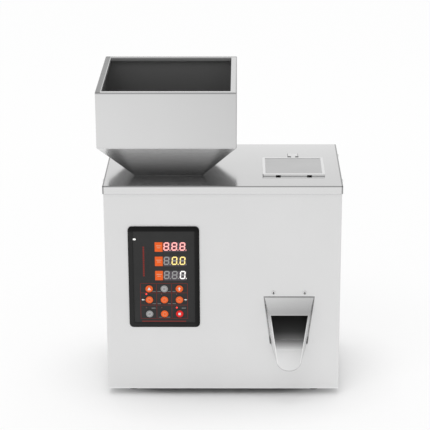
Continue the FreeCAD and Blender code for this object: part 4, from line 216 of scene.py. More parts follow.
def steel(name, base, rough, grain=(1, 1, 40), stops=(), relief=0.012, metal=1.0, vary=0.012, edge=1.0):
    """Stainless sheet: fine grain that runs one way, a cloudy polish and painted light and shade along
    given axes.

    An edge under 1 makes the sheet darker where it is seen at a low angle.
    """
    material, shader = new_material(name)
    tree = material.node_tree
    tone = mottled(tree, noise(tree, scale=9.0, detail=2.0), shade(base, 1 - vary), shade(base, 1 + vary))
    tree.links.new(painted(tree, tone, stops), shader.inputs["Base Color"])
    grains = noise(tree, scale=60.0, stretch=grain, detail=4.0, rough=0.6)
    tree.links.new(spread(tree, grains, rough * 0.94, rough * 1.06), shader.inputs["Roughness"])
    tree.links.new(bump(tree, grains, relief, distance=0.0002), shader.inputs["Normal"])
    shader.inputs["Metallic"].default_value = metal
    shader.inputs["Specular Tint"].default_value = (edge, edge, edge, 1)
    return material


def moulded(name, base, rough, texture=600.0, relief=0.08, vary=0.06, gloss=0.5, stops=()):
    """Moulded plastic or rubber: a fine even texture and slight clouds of colour."""
    material, shader = new_material(name)
    tree = material.node_tree
    tone = mottled(tree, noise(tree, scale=30.0, detail=2.0), shade(base, 1 - vary), shade(base, 1 + vary))
    tree.links.new(painted(tree, tone, stops), shader.inputs["Base Color"])
    pits = noise(tree, scale=texture, detail=2.0)
    tree.links.new(spread(tree, pits, rough * 0.85, min(1.0, rough * 1.15)), shader.inputs["Roughness"])
    tree.links.new(bump(tree, pits, relief, distance=0.0002), shader.inputs["Normal"])
    shader.inputs["Specular IOR Level"].default_value = gloss
    return material


def cast(name, base, rough):
    """Cast or rolled dull metal with a coarse skin."""
    material, shader = new_material(name)
    tree = material.node_tree
    skin = noise(tree, scale=220.0, detail=5.0, rough=0.7)
    tree.links.new(mottled(tree, skin, shade(base, 0.85), shade(base, 1.12)), shader.inputs["Base Color"])
    tree.links.new(spread(tree, skin, rough * 0.8, rough * 1.2), shader.inputs["Roughness"])
    tree.links.new(bump(tree, skin, strength=0.25, distance=0.0004), shader.inputs["Normal"])
    shader.inputs["Metallic"].default_value = 0.8
    return material


def print_ink(name, base):
    """Screen-printed ink: matt, a little thinner in places."""
    material, shader = new_material(name)
    tree = material.node_tree
    film = noise(tree, scale=900.0)
    tree.links.new(mottled(tree, film, shade(base, 0.9), base), shader.inputs["Base Color"])
    tree.links.new(bump(tree, film, strength=0.05, distance=0.0001), shader.inputs["Normal"])
    shader.inputs["Roughness"].default_value = 0.7
    shader.inputs["Specular IOR Level"].default_value = 0.2
    return material


def glow(name, base, strength):
    """A lit segment or lamp: bright in its middle tone, with a slight unevenness."""
    material, shader = new_material(name)
    tree = material.node_tree
    tone = mottled(tree, noise(tree, scale=400.0, detail=1.0), shade(base, 0.92), base)
    tree.links.new(tone, shader.inputs["Base Color"])
    tree.links.new(tone, shader.inputs["Emission Color"])
    shader.inputs["Emission Strength"].default_value = strength
    shader.inputs["Roughness"].default_value = 0.4
    return material


# shapes: each is a pair of an array of points in millimetres and a list of faces

def grid_faces(rows, columns, closed=False):
    """Four-sided faces of a grid whose rows are rings: point, next in its ring, and the two a ring on."""
    row = np.arange(rows if closed else rows - 1)
    column = np.arange(columns)
    here = row[:, None] * columns
    there = ((row + 1) % rows)[:, None] * columns
    beside = (column + 1) % columns
    quads = np.stack([here + column, here + beside, there + beside, there + column], axis=-1)
    return quads.reshape(-1, 4).tolist()


def capped(rings):
    """A closed solid from an array of rings, with a flat face on the first and on the last ring."""
    rows, columns = rings.shape[:2]
    faces = grid_faces(rows, columns)
    faces.append(list(range(columns)))
    faces.append(list(range((rows - 1) * columns, rows * columns)))
    return rings.reshape(-1, 3), faces


def gather(parts):
    """Several shapes as one."""
    starts = np.cumsum([0] + [len(points) for points, _ in parts])
    faces = []
    for start, (_, part_faces) in zip(starts, parts):
        faces.extend([[int(start) + index for index in face] for face in part_faces])
    return np.vstack([points for points, _ in parts]), faces


def make_piece(name, shape, material, body, smooth=False):
    """A mesh that rides on a CAD body, with its faces turned outwards."""
    points, faces = shape
    mesh = bpy.data.meshes.new(name)
    mesh.from_pydata((np.asarray(points, float) * MM).tolist(), [], faces)
    work = bmesh.new()
    work.from_mesh(mesh)
    bmesh.ops.recalc_face_normals(work, faces=work.faces)
    work.to_mesh(mesh)
    work.free()
    if smooth:
        mesh.shade_smooth()
    item = bpy.data.objects.new(name, mesh)
    bpy.context.scene.collection.objects.link(item)
    item.data.materials.append(material)
    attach(item, body)
    return item


def face_values(mesh, kind):
    """The centres or the normals of a mesh's faces, one row each."""
    values = np.empty(len(mesh.polygons) * 3)
    mesh.polygons.foreach_get(kind, values)
    return values.reshape(-1, 3)


def soften(item, width, segments=2, angle=30):
    """Small rounded edges with even shading, on a mesh whose split corners are merged first."""
    weld = item.modifiers.new("merge", "WELD")
    weld.merge_threshold = 0.01 * MM
    bevel = item.modifiers.new("edges", "BEVEL")
    bevel.width = width * MM
    bevel.segments = segments
    bevel.limit_method = "ANGLE"
    bevel.angle_limit = math.radians(angle)
    bevel.harden_normals = True


def soft_path(stations, reach, steps=4):
    """A closed path whose corners are eased.

    Each corner p gives points of the curve (1-t)^2 a + 2t(1-t) p + t^2 b, where a and b lie
    on the two runs at the given reach from p.
    """
    corners = np.asarray(stations, float)

    def eased(neighbours):
        run = neighbours - corners
        length = np.linalg.norm(run, axis=1, keepdims=True)
        return corners + run / length * np.minimum(reach, length / 2.2)

    start = eased(np.roll(corners, 1, axis=0))[:, None]
    end = eased(np.roll(corners, -1, axis=0))[:, None]
    t = np.linspace(0, 1, steps)[None, :, None]
    curve = (1 - t) ** 2 * start + 2 * t * (1 - t) * corners[:, None] + t**2 * end
    return curve.reshape(-1, corners.shape[1])


def drawn_in(half, inset, level, radius):
    """A station of a rectangle: its half sizes less an inset, its height and its corner radius."""
    return (half[X] - inset, half[Y] - inset, level, radius)


def rounded_rings(stations, centre, steps=5):
    """Rings round a rectangle with round corners: each station is (half x, half y, z, corner radius).

    A point of a ring is its corner's centre plus the radius times (cos a, sin a), over a quarter turn.
    """
    half_x, half_y, level, radius = (np.asarray(part)[:, None] for part in np.asarray(stations, float).T)
    angles = (np.linspace(0, math.pi / 2, steps) + np.arange(4)[:, None] * math.pi / 2).ravel()
    side_x = np.repeat([1, -1, -1, 1], steps)
    side_y = np.repeat([1, 1, -1, -1], steps)
    x = centre[X] + side_x * (half_x - radius) + radius * np.cos(angles)
    y = centre[Y] + side_y * (half_y - radius) + radius * np.sin(angles)
    return np.stack([x, y, np.broadcast_to(level, x.shape)], axis=-1)


def slab(corners, y_front, y_back):
    """An outline of (x, z) corners carried from one y to another."""
    outline = np.asarray(corners, float)
    x, z = outline.T
    rings = [np.column_stack([x, np.full(len(outline), y), z]) for y in (y_front, y_back)]
    return capped(np.stack(rings))


def strip(x0, x1, z0, z1, y_front, y_back):
    """A rectangular slab."""
    return slab([(x0, z0), (x1, z0), (x1, z1), (x0, z1)], y_front, y_back)


def oval(x, z, radius_x, radius_z, steps=28):
    """Corners round an oval: centre plus (a cos t, b sin t)."""
    turns = np.linspace(0, 2 * math.pi, steps, endpoint=False)
    return np.column_stack([x + radius_x * np.cos(turns), z + radius_z * np.sin(turns)])


def across(outward):
    """Two directions at right angles to an axis and to each other."""
    u = np.roll(outward, 1)
    return u, np.cross(outward, u)


def turned(centre, outward, profile, steps=40):
    """A turned piece from a profile of (radius, height).

    A point is the centre + radius (u cos t + v sin t) + height times the outward direction.
    """
    outward = np.asarray(outward, float)
    u, v = across(outward)
    turns = np.linspace(0, 2 * math.pi, steps, endpoint=False)
    ring = np.cos(turns)[:, None] * u + np.sin(turns)[:, None] * v
    radius, height = np.asarray(profile, float).T
    rings = np.asarray(centre, float) + radius[:, None, None] * ring + height[:, None, None] * outward
    return capped(rings)


# finishes of the CAD nodes

casing_finish = steel("casing_steel", grey(219), 0.32)
# painted light on the casing's front: a painted highlight along the bottom hem, lighter towards the bottom
# to offset the floor's shadow seen in it, and a painted shadow under the cover's flange
front_painted_light = steel("front_steel_painted_light", grey(251), 0.34, metal=0.55, stops=[
    (Z, [(10, 252), (11.0, 252), (12.2, 236), (33, 235), (60, 234), (100, 233), (150, 232), (308, 230),
         (313, 226), (314, 216)]),
])
# painted reflection on the cover: dark bands along its front and side bends, and the top a little lighter
# towards the back
cover_painted_light = steel("cover_steel_painted_light", grey(250), 0.12, grain=(1, 30, 30), relief=0.01, stops=[
    (Z, [(314, 238), (324.0, 238), (324.5, 172), (325.75, 172), (325.9, 235), (326, 235)]),
    (Y, [(-101.3, 240), (-101.0, 235), (-60, 236), (0, 239), (60, 245), (95, 251)]),
    (X, [(-171.2, 235), (-170.9, 140), (-169.7, 140), (-169.3, 255), (169.3, 255), (169.7, 140),
         (170.9, 140), (171.2, 235)]),
])
# painted light on the hopper's box: darker towards its right, a dark painted line down its right edge, a
# bright band over the shoulder and a dark band at the top bend
box_painted_light = steel("hopper_box_steel_painted_light", grey(252), 0.30, stops=[
    (X, [(-177.5, 222), (-90, 218), (19.0, 209), (19.5, 160), (20.5, 160)]),
    (Z, [(384, 246), (386, 255), (462.3, 255), (463.4, 205), (465, 160)]),
])
# painted shade on the hopper's sloping front and back: darker towards the neck
cone_painted_shade = steel("hopper_cone_steel_painted_shade", grey(250), 0.24, stops=[
    (Z, [(326, 142), (332, 148), (339, 164), (343.5, 174), (355, 199), (361, 209), (384, 237)]),
])
# painted shade on the hopper's sloping sides: dark, a little lighter towards the shoulder
side_painted_shade = steel("hopper_side_steel_painted_shade", grey(250), 0.24, vary=0.3, edge=0.5, stops=[
    (Z, [(326, 104), (384, 130)]),
])
# painted light on the rim: both ends darker, and the back strip darker than the front
rim_painted_light = steel("hopper_rim_steel_painted_light", grey(250), 0.2, stops=[
    (X, [(-177, 118), (-170, 132), (-169.3, 220), (18.6, 220), (19.0, 176), (20, 120)]),
    (Y, [(88.5, 255), (89.5, 230), (98, 230)]),
])
# painted shade inside the hopper: dark low down, lighter towards the rim, with a lighter band at the lip
inside_painted_shade = steel("hopper_inside_steel_painted_shade", grey(250), 0.42, metal=0.5, stops=[
    (Z, [(326, 80), (384, 106), (440, 136), (458.8, 146), (459.4, 156), (463.8, 156)]),
])
# a faint painted shade low on the lid's edges: the top is a little lighter
lid_painted_shade = steel("lid_steel", grey(250), 0.2, grain=(1, 40, 40), stops=[
    (Z, [(326.2, 234), (326.9, 236), (328.0, 236), (329.3, 240)]),
])
field_finish = steel("lid_field_steel", grey(205), 0.4, grain=(14, 14, 14), relief=0.3, vary=0.06)
# painted shadow of the knuckle across the back of the leaf, and painted shade along the leaf's two side
# edges
hinge_painted_shadow = steel("hinge_steel", grey(250), 0.22, stops=[
    (Y, [(22, 96), (29.2, 104), (29.8, 232), (52, 236)]),
    (X, [(95.5, 170), (96.3, 170), (96.6, 255), (110.4, 255), (110.7, 170), (111.5, 170)]),
])
inner_finish = steel("inner_steel", grey(205), 0.32, grain=(1, 30, 30))
# painted light on the spout: the hood darker towards its lower edge and its right, painted shade where the
# sheet runs behind the casing's face, and painted shade deepening into the spout's floor below 94 mm
spout_painted_light = steel("spout_steel", grey(255), 0.26, grain=(30, 30, 2), stops=[
    (Z, [(54, 252), (84, 250), (120, 234), (136, 190), (140, 194), (156, 226)]),
    (X, [(60, 255), (132, 236)]),
    (Y, [(-101.1, 255), (-100.7, 214), (-98, 180)]),
    (Y, [(-108.8, 252), (-107, 225), (-104, 190), (-101.1, 158), (-100.7, 178), (-98, 180)], 94),
])
# painted shade inside the machine: the funnel darkens from its mouth inwards
funnel_painted_shade = steel("funnel_steel_painted_shade", grey(250), 0.4, metal=0.3, stops=[
    (Y, [(-98.2, 176), (-95, 150), (-88, 104), (-70, 80), (5, 74)]),
])
screw_finish = steel("screw_steel", grey(232), 0.22)
# painted shade: the base pan is made dark grey so that the gap under the casing stays dark
pan_painted_shade = steel("pan_steel_painted_shade", grey(120), 0.5)
iron = cast("base_iron", grey(92), 0.55)
core = cast("core_steel", grey(104), 0.5)
aluminium = cast("cast_aluminium", grey(196), 0.42)
spring = moulded("spring_glass_fibre", colour(170, 150, 80), 0.45, texture=200, relief=0.12)
coil = moulded("coil_resin", colour(150, 72, 30), 0.28, texture=300, relief=0.1)
dark_plastic = moulded("dark_plastic", grey(48), 0.5)
rubber = moulded("foot_rubber", grey(22), 0.8, texture=420, relief=0.2, gloss=0.2)
# painted shade on the bezel: its top and right edges darker, and its bottom edge a little darker
bezel_painted_shade = moulded("bezel_black", grey(48), 0.45, texture=900, relief=0.05, gloss=0.15, stops=[
    (Z, [(109, 150), (112, 235), (256, 240), (259, 130), (265, 90)]),
    (X, [(-136.4, 225), (-134.5, 250), (-41, 215), (-38, 150), (-33.7, 130)]),
])
overlay_finish = moulded("overlay_black", grey(55), 0.55, texture=1200, relief=0.04, gloss=0.15)
display_finish = moulded("display_face", colour(86, 80, 86), 0.4, texture=1500, relief=0.02, gloss=0.2)
board_finish = moulded("board_green", colour(28, 92, 52), 0.35)
socket_finish = moulded("socket_black", grey(34), 0.5)
lamp_finish = moulded("lamp_body", colour(58, 50, 50), 0.4, texture=800, relief=0.03, gloss=0.2)


def key_finish(name, base):
    """The matt plastic of a key cap."""
    return moulded(name, base, 0.6, texture=1000, relief=0.04, gloss=0.2)


FINISHES = {
    "casing_steel": casing_finish,
    "polished_steel": cover_painted_light,
    "hopper_steel": box_painted_light,
    "lid_steel": lid_painted_shade,
    "hinge_steel": hinge_painted_shadow,
    "inner_steel": inner_finish,
    "spout_steel": spout_painted_light,
    "screw_steel": screw_finish,
    "core_steel": core,
    "base_iron": iron,
    "cast_aluminium": aluminium,
    "supply_aluminium": aluminium,
    "spring_glass_fibre": spring,
    "coil_resin": coil,
    "motor_plastic": dark_plastic,
    "knob_plastic": dark_plastic,
    "foot_rubber": rubber,
    "bezel_black": bezel_painted_shade,
    "overlay_black": overlay_finish,
    "display_black": display_finish,
    "lamp_clear": lamp_finish,
    "board_green": board_finish,
    "socket_black": socket_finish,
    "rocker_black": socket_finish,
    "socket_metal": screw_finish,
    "key_orange": key_finish("key_orange", colour(255, 108, 46)),
    "key_grey": key_finish("key_grey", grey(158)),
    "key_red": key_finish("key_red", colour(240, 40, 38)),
}
OWN_FINISHES = {"casing_wrap": front_painted_light, "discharge_funnel": funnel_painted_shade, "base_pan": pan_painted_shade}
EASED = {
    "top_cover": 0.25,
    "access_lid": 0.3,
    "lid_hinge_leaf": 0.15,
    "panel_bezel": 0.3,
    "rubber_feet": 0.4,
    "power_inlet": 0.3,
    "switch_frame": 0.3,
    "rocker_switch": 0.4,
    "pedal_socket": 0.3,
}

TONGUE_REACH = 25.0
TONGUE_DROP = 22.1
OUTLET_BOTTOM = 83.0
SPOUT_SHEET = 1.0


def paint_tongue_rim_shade(material, level):
    """Painted shade on the cut rim of the spout's tongue, which is made darker than the sheet's two faces.

    A place's height is its product with the sheet's normal, and the rim is where that height lies
    between the two faces, in front of the casing.
    """
    tree = material.node_tree
    length = math.hypot(TONGUE_REACH, TONGUE_DROP)
    product = tree.nodes.new("ShaderNodeVectorMath")
    product.operation = "DOT_PRODUCT"
    product.inputs[1].default_value = (0, -TONGUE_DROP / length, TONGUE_REACH / length)
    tree.links.new(object_place(tree), product.inputs[0])
    height = product.outputs["Value"]
    front = CASING_LOW[Y]
    top = (TONGUE_REACH * OUTLET_BOTTOM - TONGUE_DROP * front) / length
    under_top = spread(tree, height, 1, 0, (top - 0.16 * SPOUT_SHEET) * MM, (top - 0.08 * SPOUT_SHEET) * MM)
    over_foot = spread(tree, height, 0, 1, (top - 0.94 * SPOUT_SHEET) * MM, (top - 0.88 * SPOUT_SHEET) * MM)
    outside = spread(tree, along(tree, Y), 1, 0, (front - 1.6) * MM, (front - 1.2) * MM)
    share = combined(tree, "MULTIPLY", combined(tree, "MULTIPLY", under_top, over_foot), outside)
    base_colour = tree.nodes["Principled BSDF"].inputs["Base Color"]
    tone = base_colour.links[0].from_socket
    tree.links.new(blend_colours(tree, share, tone, grey(level)), base_colour)


def dress_nodes():
    """Each CAD node gets its own finish or that of its material slot, and some get eased edges."""
    slot_of = {entry["node"]: entry["material_slot"] for entry in frame["record"]["subparts"]}
    for name, node in frame["nodes"].items():
        finish = OWN_FINISHES.get(name, FINISHES[slot_of[name]])
        for slot in node.material_slots:
            slot.material = finish
    for name, width in EASED.items():
        soften(frame["nodes"][name], width)


paint_tongue_rim_shade(spout_painted_light, 26)
dress_nodes()


# hopper

HOPPER_LOW, HOPPER_HIGH = box_of("hopper")
HOPPER_CENTRE = (HOPPER_LOW + HOPPER_HIGH)[:2] / 2
BOX_HALF = (HOPPER_HIGH - HOPPER_LOW)[:2] / 2
NECK_HALF = (49.5, 46.5)
NECK_FOOT = HOPPER_LOW[Z]
NECK_TOP = 326.2
SHOULDER = 384.0
RIM = HOPPER_HIGH[Z]
HOPPER_WALL = 1.2
RIM_WIDTH = 8.5
LIP_FOOT = RIM - 6.0


def hopper_shape():
    """The hopper's wall as one section, from the neck up outside and down inside, carried round."""
    path = soft_path(
        [
            drawn_in(NECK_HALF, 0, NECK_FOOT, 1.2),
            drawn_in(NECK_HALF, 0, NECK_TOP, 1.2),
            drawn_in(BOX_HALF, 0, SHOULDER, 1.8),
            drawn_in(BOX_HALF, 0, RIM, 1.8),
            drawn_in(BOX_HALF, RIM_WIDTH, RIM, 1.0),
            drawn_in(BOX_HALF, RIM_WIDTH, LIP_FOOT, 1.0),
            drawn_in(BOX_HALF, RIM_WIDTH - HOPPER_WALL, LIP_FOOT, 1.0),
            drawn_in(BOX_HALF, RIM_WIDTH - HOPPER_WALL, RIM - HOPPER_WALL, 1.0),
            drawn_in(BOX_HALF, HOPPER_WALL, RIM - HOPPER_WALL, 0.9),
            drawn_in(BOX_HALF, HOPPER_WALL, SHOULDER + HOPPER_WALL / 2, 0.9),
            drawn_in(NECK_HALF, HOPPER_WALL, NECK_TOP + HOPPER_WALL / 2, 0.6),
            drawn_in(NECK_HALF, HOPPER_WALL, NECK_FOOT, 0.6),
        ],
        reach=1.3,
    )
    rings = rounded_rings(path, HOPPER_CENTRE)
    return rings.reshape(-1, 3), grid_faces(*rings.shape[:2], closed=True)


def finish_hopper(skin):
    """The finish of each face by where it lies and faces: box, cone, rim, inside or cone's side."""
    for extra in (cone_painted_shade, rim_painted_light, inside_painted_shade, side_painted_shade):
        skin.data.materials.append(extra)
    box, cone, rim, inside, side = range(5)
    centres = face_values(skin.data, "center") / MM
    normals = face_values(skin.data, "normal")
    facing_in = ((centres[:, :2] - HOPPER_CENTRE) * normals[:, :2]).sum(axis=1) < 0
    below = (centres[:, Z] < SHOULDER) & ~facing_in
    under_rim = (normals[:, Z] < -0.5) & (centres[:, Z] > (SHOULDER + RIM) / 2)
    finish = np.full(len(centres), box)
    finish[below] = cone
    finish[below & (np.abs(normals[:, X]) > 0.5)] = side
    finish[facing_in | under_rim] = inside
    finish[(normals[:, Z] > 0.6) & (centres[:, Z] > RIM - 1)] = rim
    skin.data.polygons.foreach_set("material_index", finish)


hopper_skin = make_piece("hopper_skin", hopper_shape(), box_painted_light, "casing", smooth=True)
finish_hopper(hopper_skin)
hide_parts("hopper")


# lid

LID_LOW, LID_HIGH = box_of("access_lid")
LID_DEPTH = 81.0
LID_CENTRE = ((LID_LOW[X] + LID_HIGH[X]) / 2, LID_LOW[Y] + LID_DEPTH / 2)
FIELD_HALF = (40.7, 36.2)
FIELD_LEVEL = 328.5
BUMPER_HALF = (3.5, 0.6)
BUMPER_PITCH = 45.0


def field_shape():
    """The lid's field: a thin pad of four rounded rings, with eased edges."""
    stations = [
        drawn_in(FIELD_HALF, 0.3, FIELD_LEVEL - 0.1, 1.4),
        drawn_in(FIELD_HALF, 0.0, FIELD_LEVEL, 1.6),
        drawn_in(FIELD_HALF, 0.1, FIELD_LEVEL + 0.22, 1.5),
        drawn_in(FIELD_HALF, 0.5, FIELD_LEVEL + 0.32, 1.2),
    ]
    return capped(rounded_rings(stations, LID_CENTRE))


def bumper_shape(side):
    """A small rubber pad on the lid's front edge, just over the cover: a short stack of rounded rings."""
    half_x, half_y = BUMPER_HALF
    foot = COVER_HIGH[Z]
    stations = [
        (half_x - 0.5, half_y - 0.25, foot + 0.35, 0.3),
        (half_x, half_y, foot + 0.5, 0.5),
        (half_x, half_y, foot + 1.3, 0.5),
        (half_x - 0.5, half_y - 0.25, foot + 1.5, 0.3),
    ]
    return capped(rounded_rings(stations, (LID_CENTRE[X] + side * BUMPER_PITCH / 2, LID_LOW[Y] - 0.4)))


make_piece("lid_field", field_shape(), field_finish, "lid")
bumpers = [bumper_shape(side) for side in (-1, 1)]
make_piece("lid_bumpers", gather(bumpers), rubber, "lid", smooth=True)


# displays

DISPLAY_LOW = box_of("display_modules")[0]
DISPLAY_Y = DISPLAY_LOW[Y]
DISPLAY_HEIGHT = 15.3
DISPLAY_PITCH = 22.0
DIGIT_RISE = 1.1
DIGIT_CENTRES = (-81.2, -69.7, -58.1)
DIGIT_HEIGHT = 12.7
DIGIT_WIDTH = 8.2
SEGMENT = 1.8
SEGMENT_GAP = 0.14
LEAN = 0.07
POINT_RADIUS = 0.85
POINT_GAP = 1.1
HALO = 0.45
INK = 0.04
SEGMENTS = {"0": "abcdef", "8": "abcdefg", " ": ""}


def on_display(corners, thickness=INK):
    """A flat shape on the displays' faces."""
    return slab(corners, DISPLAY_Y - thickness, DISPLAY_Y)


def segment_part(letter, x, z):
    """One segment of a digit: a six-sided bar whose x grows by LEAN times its height in the digit."""
    half_w = DIGIT_WIDTH / 2
    half_h = DIGIT_HEIGHT / 2
    t = SEGMENT / 2
    if letter in "adg":
        level = {"a": half_h - t, "g": 0.0, "d": -half_h + t}[letter]
        end = half_w - t - SEGMENT_GAP
        corners = [(-end, level), (-end + t, level - t), (end - t, level - t), (end, level),
                   (end - t, level + t), (-end + t, level + t)]
    else:
        side = half_w - t if letter in "bc" else -half_w + t
        low, high = (SEGMENT_GAP, half_h - t - SEGMENT_GAP)
        if letter in "ce":
            low, high = -high, -low
        corners = [(side, low), (side + t, low + t), (side + t, high - t), (side, high),
                   (side - t, high - t), (side - t, low + t)]
    return on_display([(x + right + LEAN * up, z + up) for right, up in corners])


def point_part(x, z):
    """The decimal point after a digit."""
    place = (x + DIGIT_WIDTH / 2 + POINT_GAP, z - DIGIT_HEIGHT / 2 + POINT_RADIUS)
    return on_display(oval(*place, POINT_RADIUS, POINT_RADIUS, steps=16))


def halo_part(x, z):
    """The faint glow behind a lit digit: a four-sided patch that leans as much and is a little larger."""
    lean = LEAN * DIGIT_HEIGHT / 2
    half_w = DIGIT_WIDTH / 2 + HALO
    half_h = DIGIT_HEIGHT / 2 + HALO
    corners = [(x - half_w - lean, z - half_h), (x + half_w - lean, z - half_h),
               (x + half_w + lean, z + half_h), (x - half_w + lean, z + half_h)]
    return on_display(corners, INK / 3)


def show_row(number, low, text, points, lit, halo):
    """One display's digits: lit segments, the unlit rest and the glow behind the lit digits."""
    middle = low + DISPLAY_HEIGHT / 2 + DIGIT_RISE
    bright = []
    dim = []
    haze = []
    for x, figure, pointed in zip(DIGIT_CENTRES, text, points):
        for letter in "abcdefg":
            group = bright if letter in SEGMENTS[figure] else dim
            group.append(segment_part(letter, x, middle))
        (bright if pointed else dim).append(point_part(x, middle))
        if figure != " ":
            haze.append(halo_part(x, middle))
    make_piece(f"digits_lit_{number}", gather(bright), lit, "casing")
    if dim:
        make_piece(f"digits_unlit_{number}", gather(dim), unlit, "casing")
    if halo:
        make_piece(f"digits_halo_{number}", gather(haze), halo, "casing")


unlit = print_ink("segment_unlit", grey(172))
lit_red = glow("segment_red", colour(255, 178, 174), 0.6)
lit_yellow = glow("segment_yellow", colour(250, 228, 140), 0.55)
lit_white = glow("segment_white", colour(246, 244, 240), 0.55)
halo_red = print_ink("segment_halo_red", colour(112, 62, 72))
halo_yellow = print_ink("segment_halo_yellow", colour(92, 74, 76))
display_rows = [DISPLAY_LOW[Z] + step * DISPLAY_PITCH for step in (2, 1, 0)]
show_row(1, display_rows[0], "888", (True, True, True), lit_red, halo_red)
show_row(2, display_rows[1], " 00", (False, True, False), lit_yellow, halo_yellow)
show_row(3, display_rows[2], "  0", (False, False, True), lit_white, None)


# prints on the panel's face

OVERLAY_Y = box_of("panel_overlay")[0][Y]
LINE = 0.3
TILE = (-97.9, -86.6)
TILE_HEIGHT = (0.8, 15.3)
# each line's height over the display's foot, and its half length
TILE_LINES = ((9.9, 3.6), (7.0, 2.4))
TILE_LINE = 0.4
SIDE_MARK = (-115.3, -113.1)
SIDE_MARK_HEIGHT = 2.1
SIDE_MARK_PITCH = 2.9
SIDE_MARK_COUNT = 16
SIDE_MARK_FOOT = 189.0
GRID_X = (-119.6, -96.3, -74.4, -51.5)
GRID_Z = (122.8, 144.0, 163.1, 177.8)
DASH = (1.2, 6.0)
DASH_RISE = 2.2
WORD_DASHES = ((-104.0, -98.2), (-60.0, -54.2))
WORD_LEVEL = 139.2
FOOT_DASHES = ((-93.4, -88.0), (-82.6, -77.0))
FOOT_LEVEL = 124.9
GRID_BAR = (-118.0, -54.0, 118.0, 119.2)
POINTER = np.array([(0.0, 0.0), (2.4, 1.5), (2.4, 0.7), (4.6, 0.5), (4.6, -0.5), (2.4, -0.7), (2.4, -1.5)])
POINTER_TIPS = ((1, -118.4), (-1, -51.9))

orange_ink = print_ink("ink_orange", colour(255, 110, 46))
red_ink = print_ink("ink_red", colour(150, 52, 46))
dull_red_ink = print_ink("ink_dull_red", colour(132, 50, 44))
white_ink = print_ink("ink_white", grey(240))
pale_ink = print_ink("ink_pale", colour(236, 190, 160))
grey_ink = print_ink("ink_grey", grey(150))


def printed(x0, x1, z0, z1, thickness=INK):
    """A printed rectangle on the overlay."""
    return strip(x0, x1, z0, z1, OVERLAY_Y - thickness, OVERLAY_Y)


def line_across(x0, x1, z, half=LINE):
    """A printed line along X."""
    return printed(x0, x1, z - half, z + half)


def line_up(x, z0, z1):
    """A printed line along Z."""
    return printed(x - LINE, x + LINE, z0, z1)


def print_panel(name, shapes, ink):
    """A piece of printed shapes on the overlay."""
    make_piece(name, gather(shapes), ink, "casing")


def label_tile(low):
    """A coloured tile beside a display, from the display's foot."""
    foot, top = TILE_HEIGHT
    return printed(*TILE, low + foot, low + top)


def tile_line(low, level, half):
    """A short bar on a tile, in place of a caption's line."""
    middle = sum(TILE) / 2
    height = low + level
    return printed(middle - half, middle + half, height - TILE_LINE, height + TILE_LINE, 2 * INK)


def grid_lines():
    """The lines round the nine keys' fields."""
    level_lines = [line_across(GRID_X[0], GRID_X[-1], level) for level in GRID_Z]
    return level_lines + [line_up(x, GRID_Z[0] - LINE, GRID_Z[-1] + LINE) for x in GRID_X]


def dash_pair(x, z):
    """Two dashes, one on each side of a grid line."""
    near, far = DASH
    return [line_across(x - far, x - near, z), line_across(x + near, x + far, z)]


def caption_dashes():
    """Dashes in place of the keys' captions."""
    dashes = []
    for x in GRID_X[1:3]:
        for level in GRID_Z[1:3]:
            dashes += dash_pair(x, level + DASH_RISE)
    dashes += [line_across(*ends, WORD_LEVEL, half=0.5) for ends in WORD_DASHES]
    return dashes + [line_across(*ends, FOOT_LEVEL) for ends in FOOT_DASHES]


def key_centre(row, column):
    """The middle of a key's face."""
    low, high = box_of(f"key_{row}_{column}")
    return np.array([(low[X] + high[X]) / 2, low[Y], (low[Z] + high[Z]) / 2])


def pointer_part(side, tip):
    """A small hand beside the middle row of keys: its outline from its tip, mirrored where side is -1."""
    corners = POINTER * (side, 1) + (tip, key_centre("middle", "left")[Z])
    return slab(corners, OVERLAY_Y - INK, OVERLAY_Y)


side_marks = [
    printed(*SIDE_MARK, foot, foot + SIDE_MARK_HEIGHT)
    for foot in SIDE_MARK_FOOT + SIDE_MARK_PITCH * np.arange(SIDE_MARK_COUNT)
]
print_panel("label_tiles", [label_tile(low) for low in display_rows], orange_ink)
print_panel("tile_lines", [tile_line(low, *line) for low in display_rows for line in TILE_LINES], pale_ink)
print_panel("side_marks", side_marks, red_ink)
print_panel("key_grid", grid_lines(), dull_red_ink)
print_panel("grid_bar", [printed(*GRID_BAR)], red_ink)
print_panel("caption_dashes", caption_dashes(), grey_ink)
print_panel("pointers", [pointer_part(side, tip) for side, tip in POINTER_TIPS], white_ink)


# lamps

lamp_red = glow("lamp_red", colour(255, 62, 54), 0.9)
lamp_dark = moulded("lamp_dark", colour(112, 84, 80), 0.4, texture=900, relief=0.03, gloss=0.2)
# a small white oval at the panel's top left that glows faintly
white_oval_glow = glow("white_oval_glow", colour(244, 244, 240), 0.5)
LAMPS = [(x, z) for z in (161.2, 139.9) for x in (-111.2, -89.1, -67.2)]
LIT = (0, 5)
LIT_RADIUS = 1.35
DARK_RADIUS = 0.95
DOME_HEIGHT = 0.5
DOME_SINK = 0.1
DOME_ROOT = 2.0
WHITE_OVAL = (-127.0, 245.9, 2.3, 1.4)
OVAL_RISE = 0.25
OVAL_ROOT = 1.0
OUTWARD = (0, -1, 0)


def lamp_part(x, z, radius):
    """A small dome: radius r cos t at height h sin t over a quarter turn, sunk a little in its hole."""
    quarter = np.linspace(math.pi / 2 * 0.96, 0, 6)
    profile = np.column_stack([radius * np.cos(quarter), DOME_HEIGHT * np.sin(quarter) - DOME_SINK])
    return turned((x, OVERLAY_Y, z), OUTWARD, np.vstack([profile, (radius, -DOME_ROOT)]), steps=24)


def make_lamps(name, numbers, radius, finish):
    """The domes of the lamps with the given numbers."""
    domes = [lamp_part(*LAMPS[number], radius) for number in numbers]
    make_piece(name, gather(domes), finish, "casing", smooth=True)


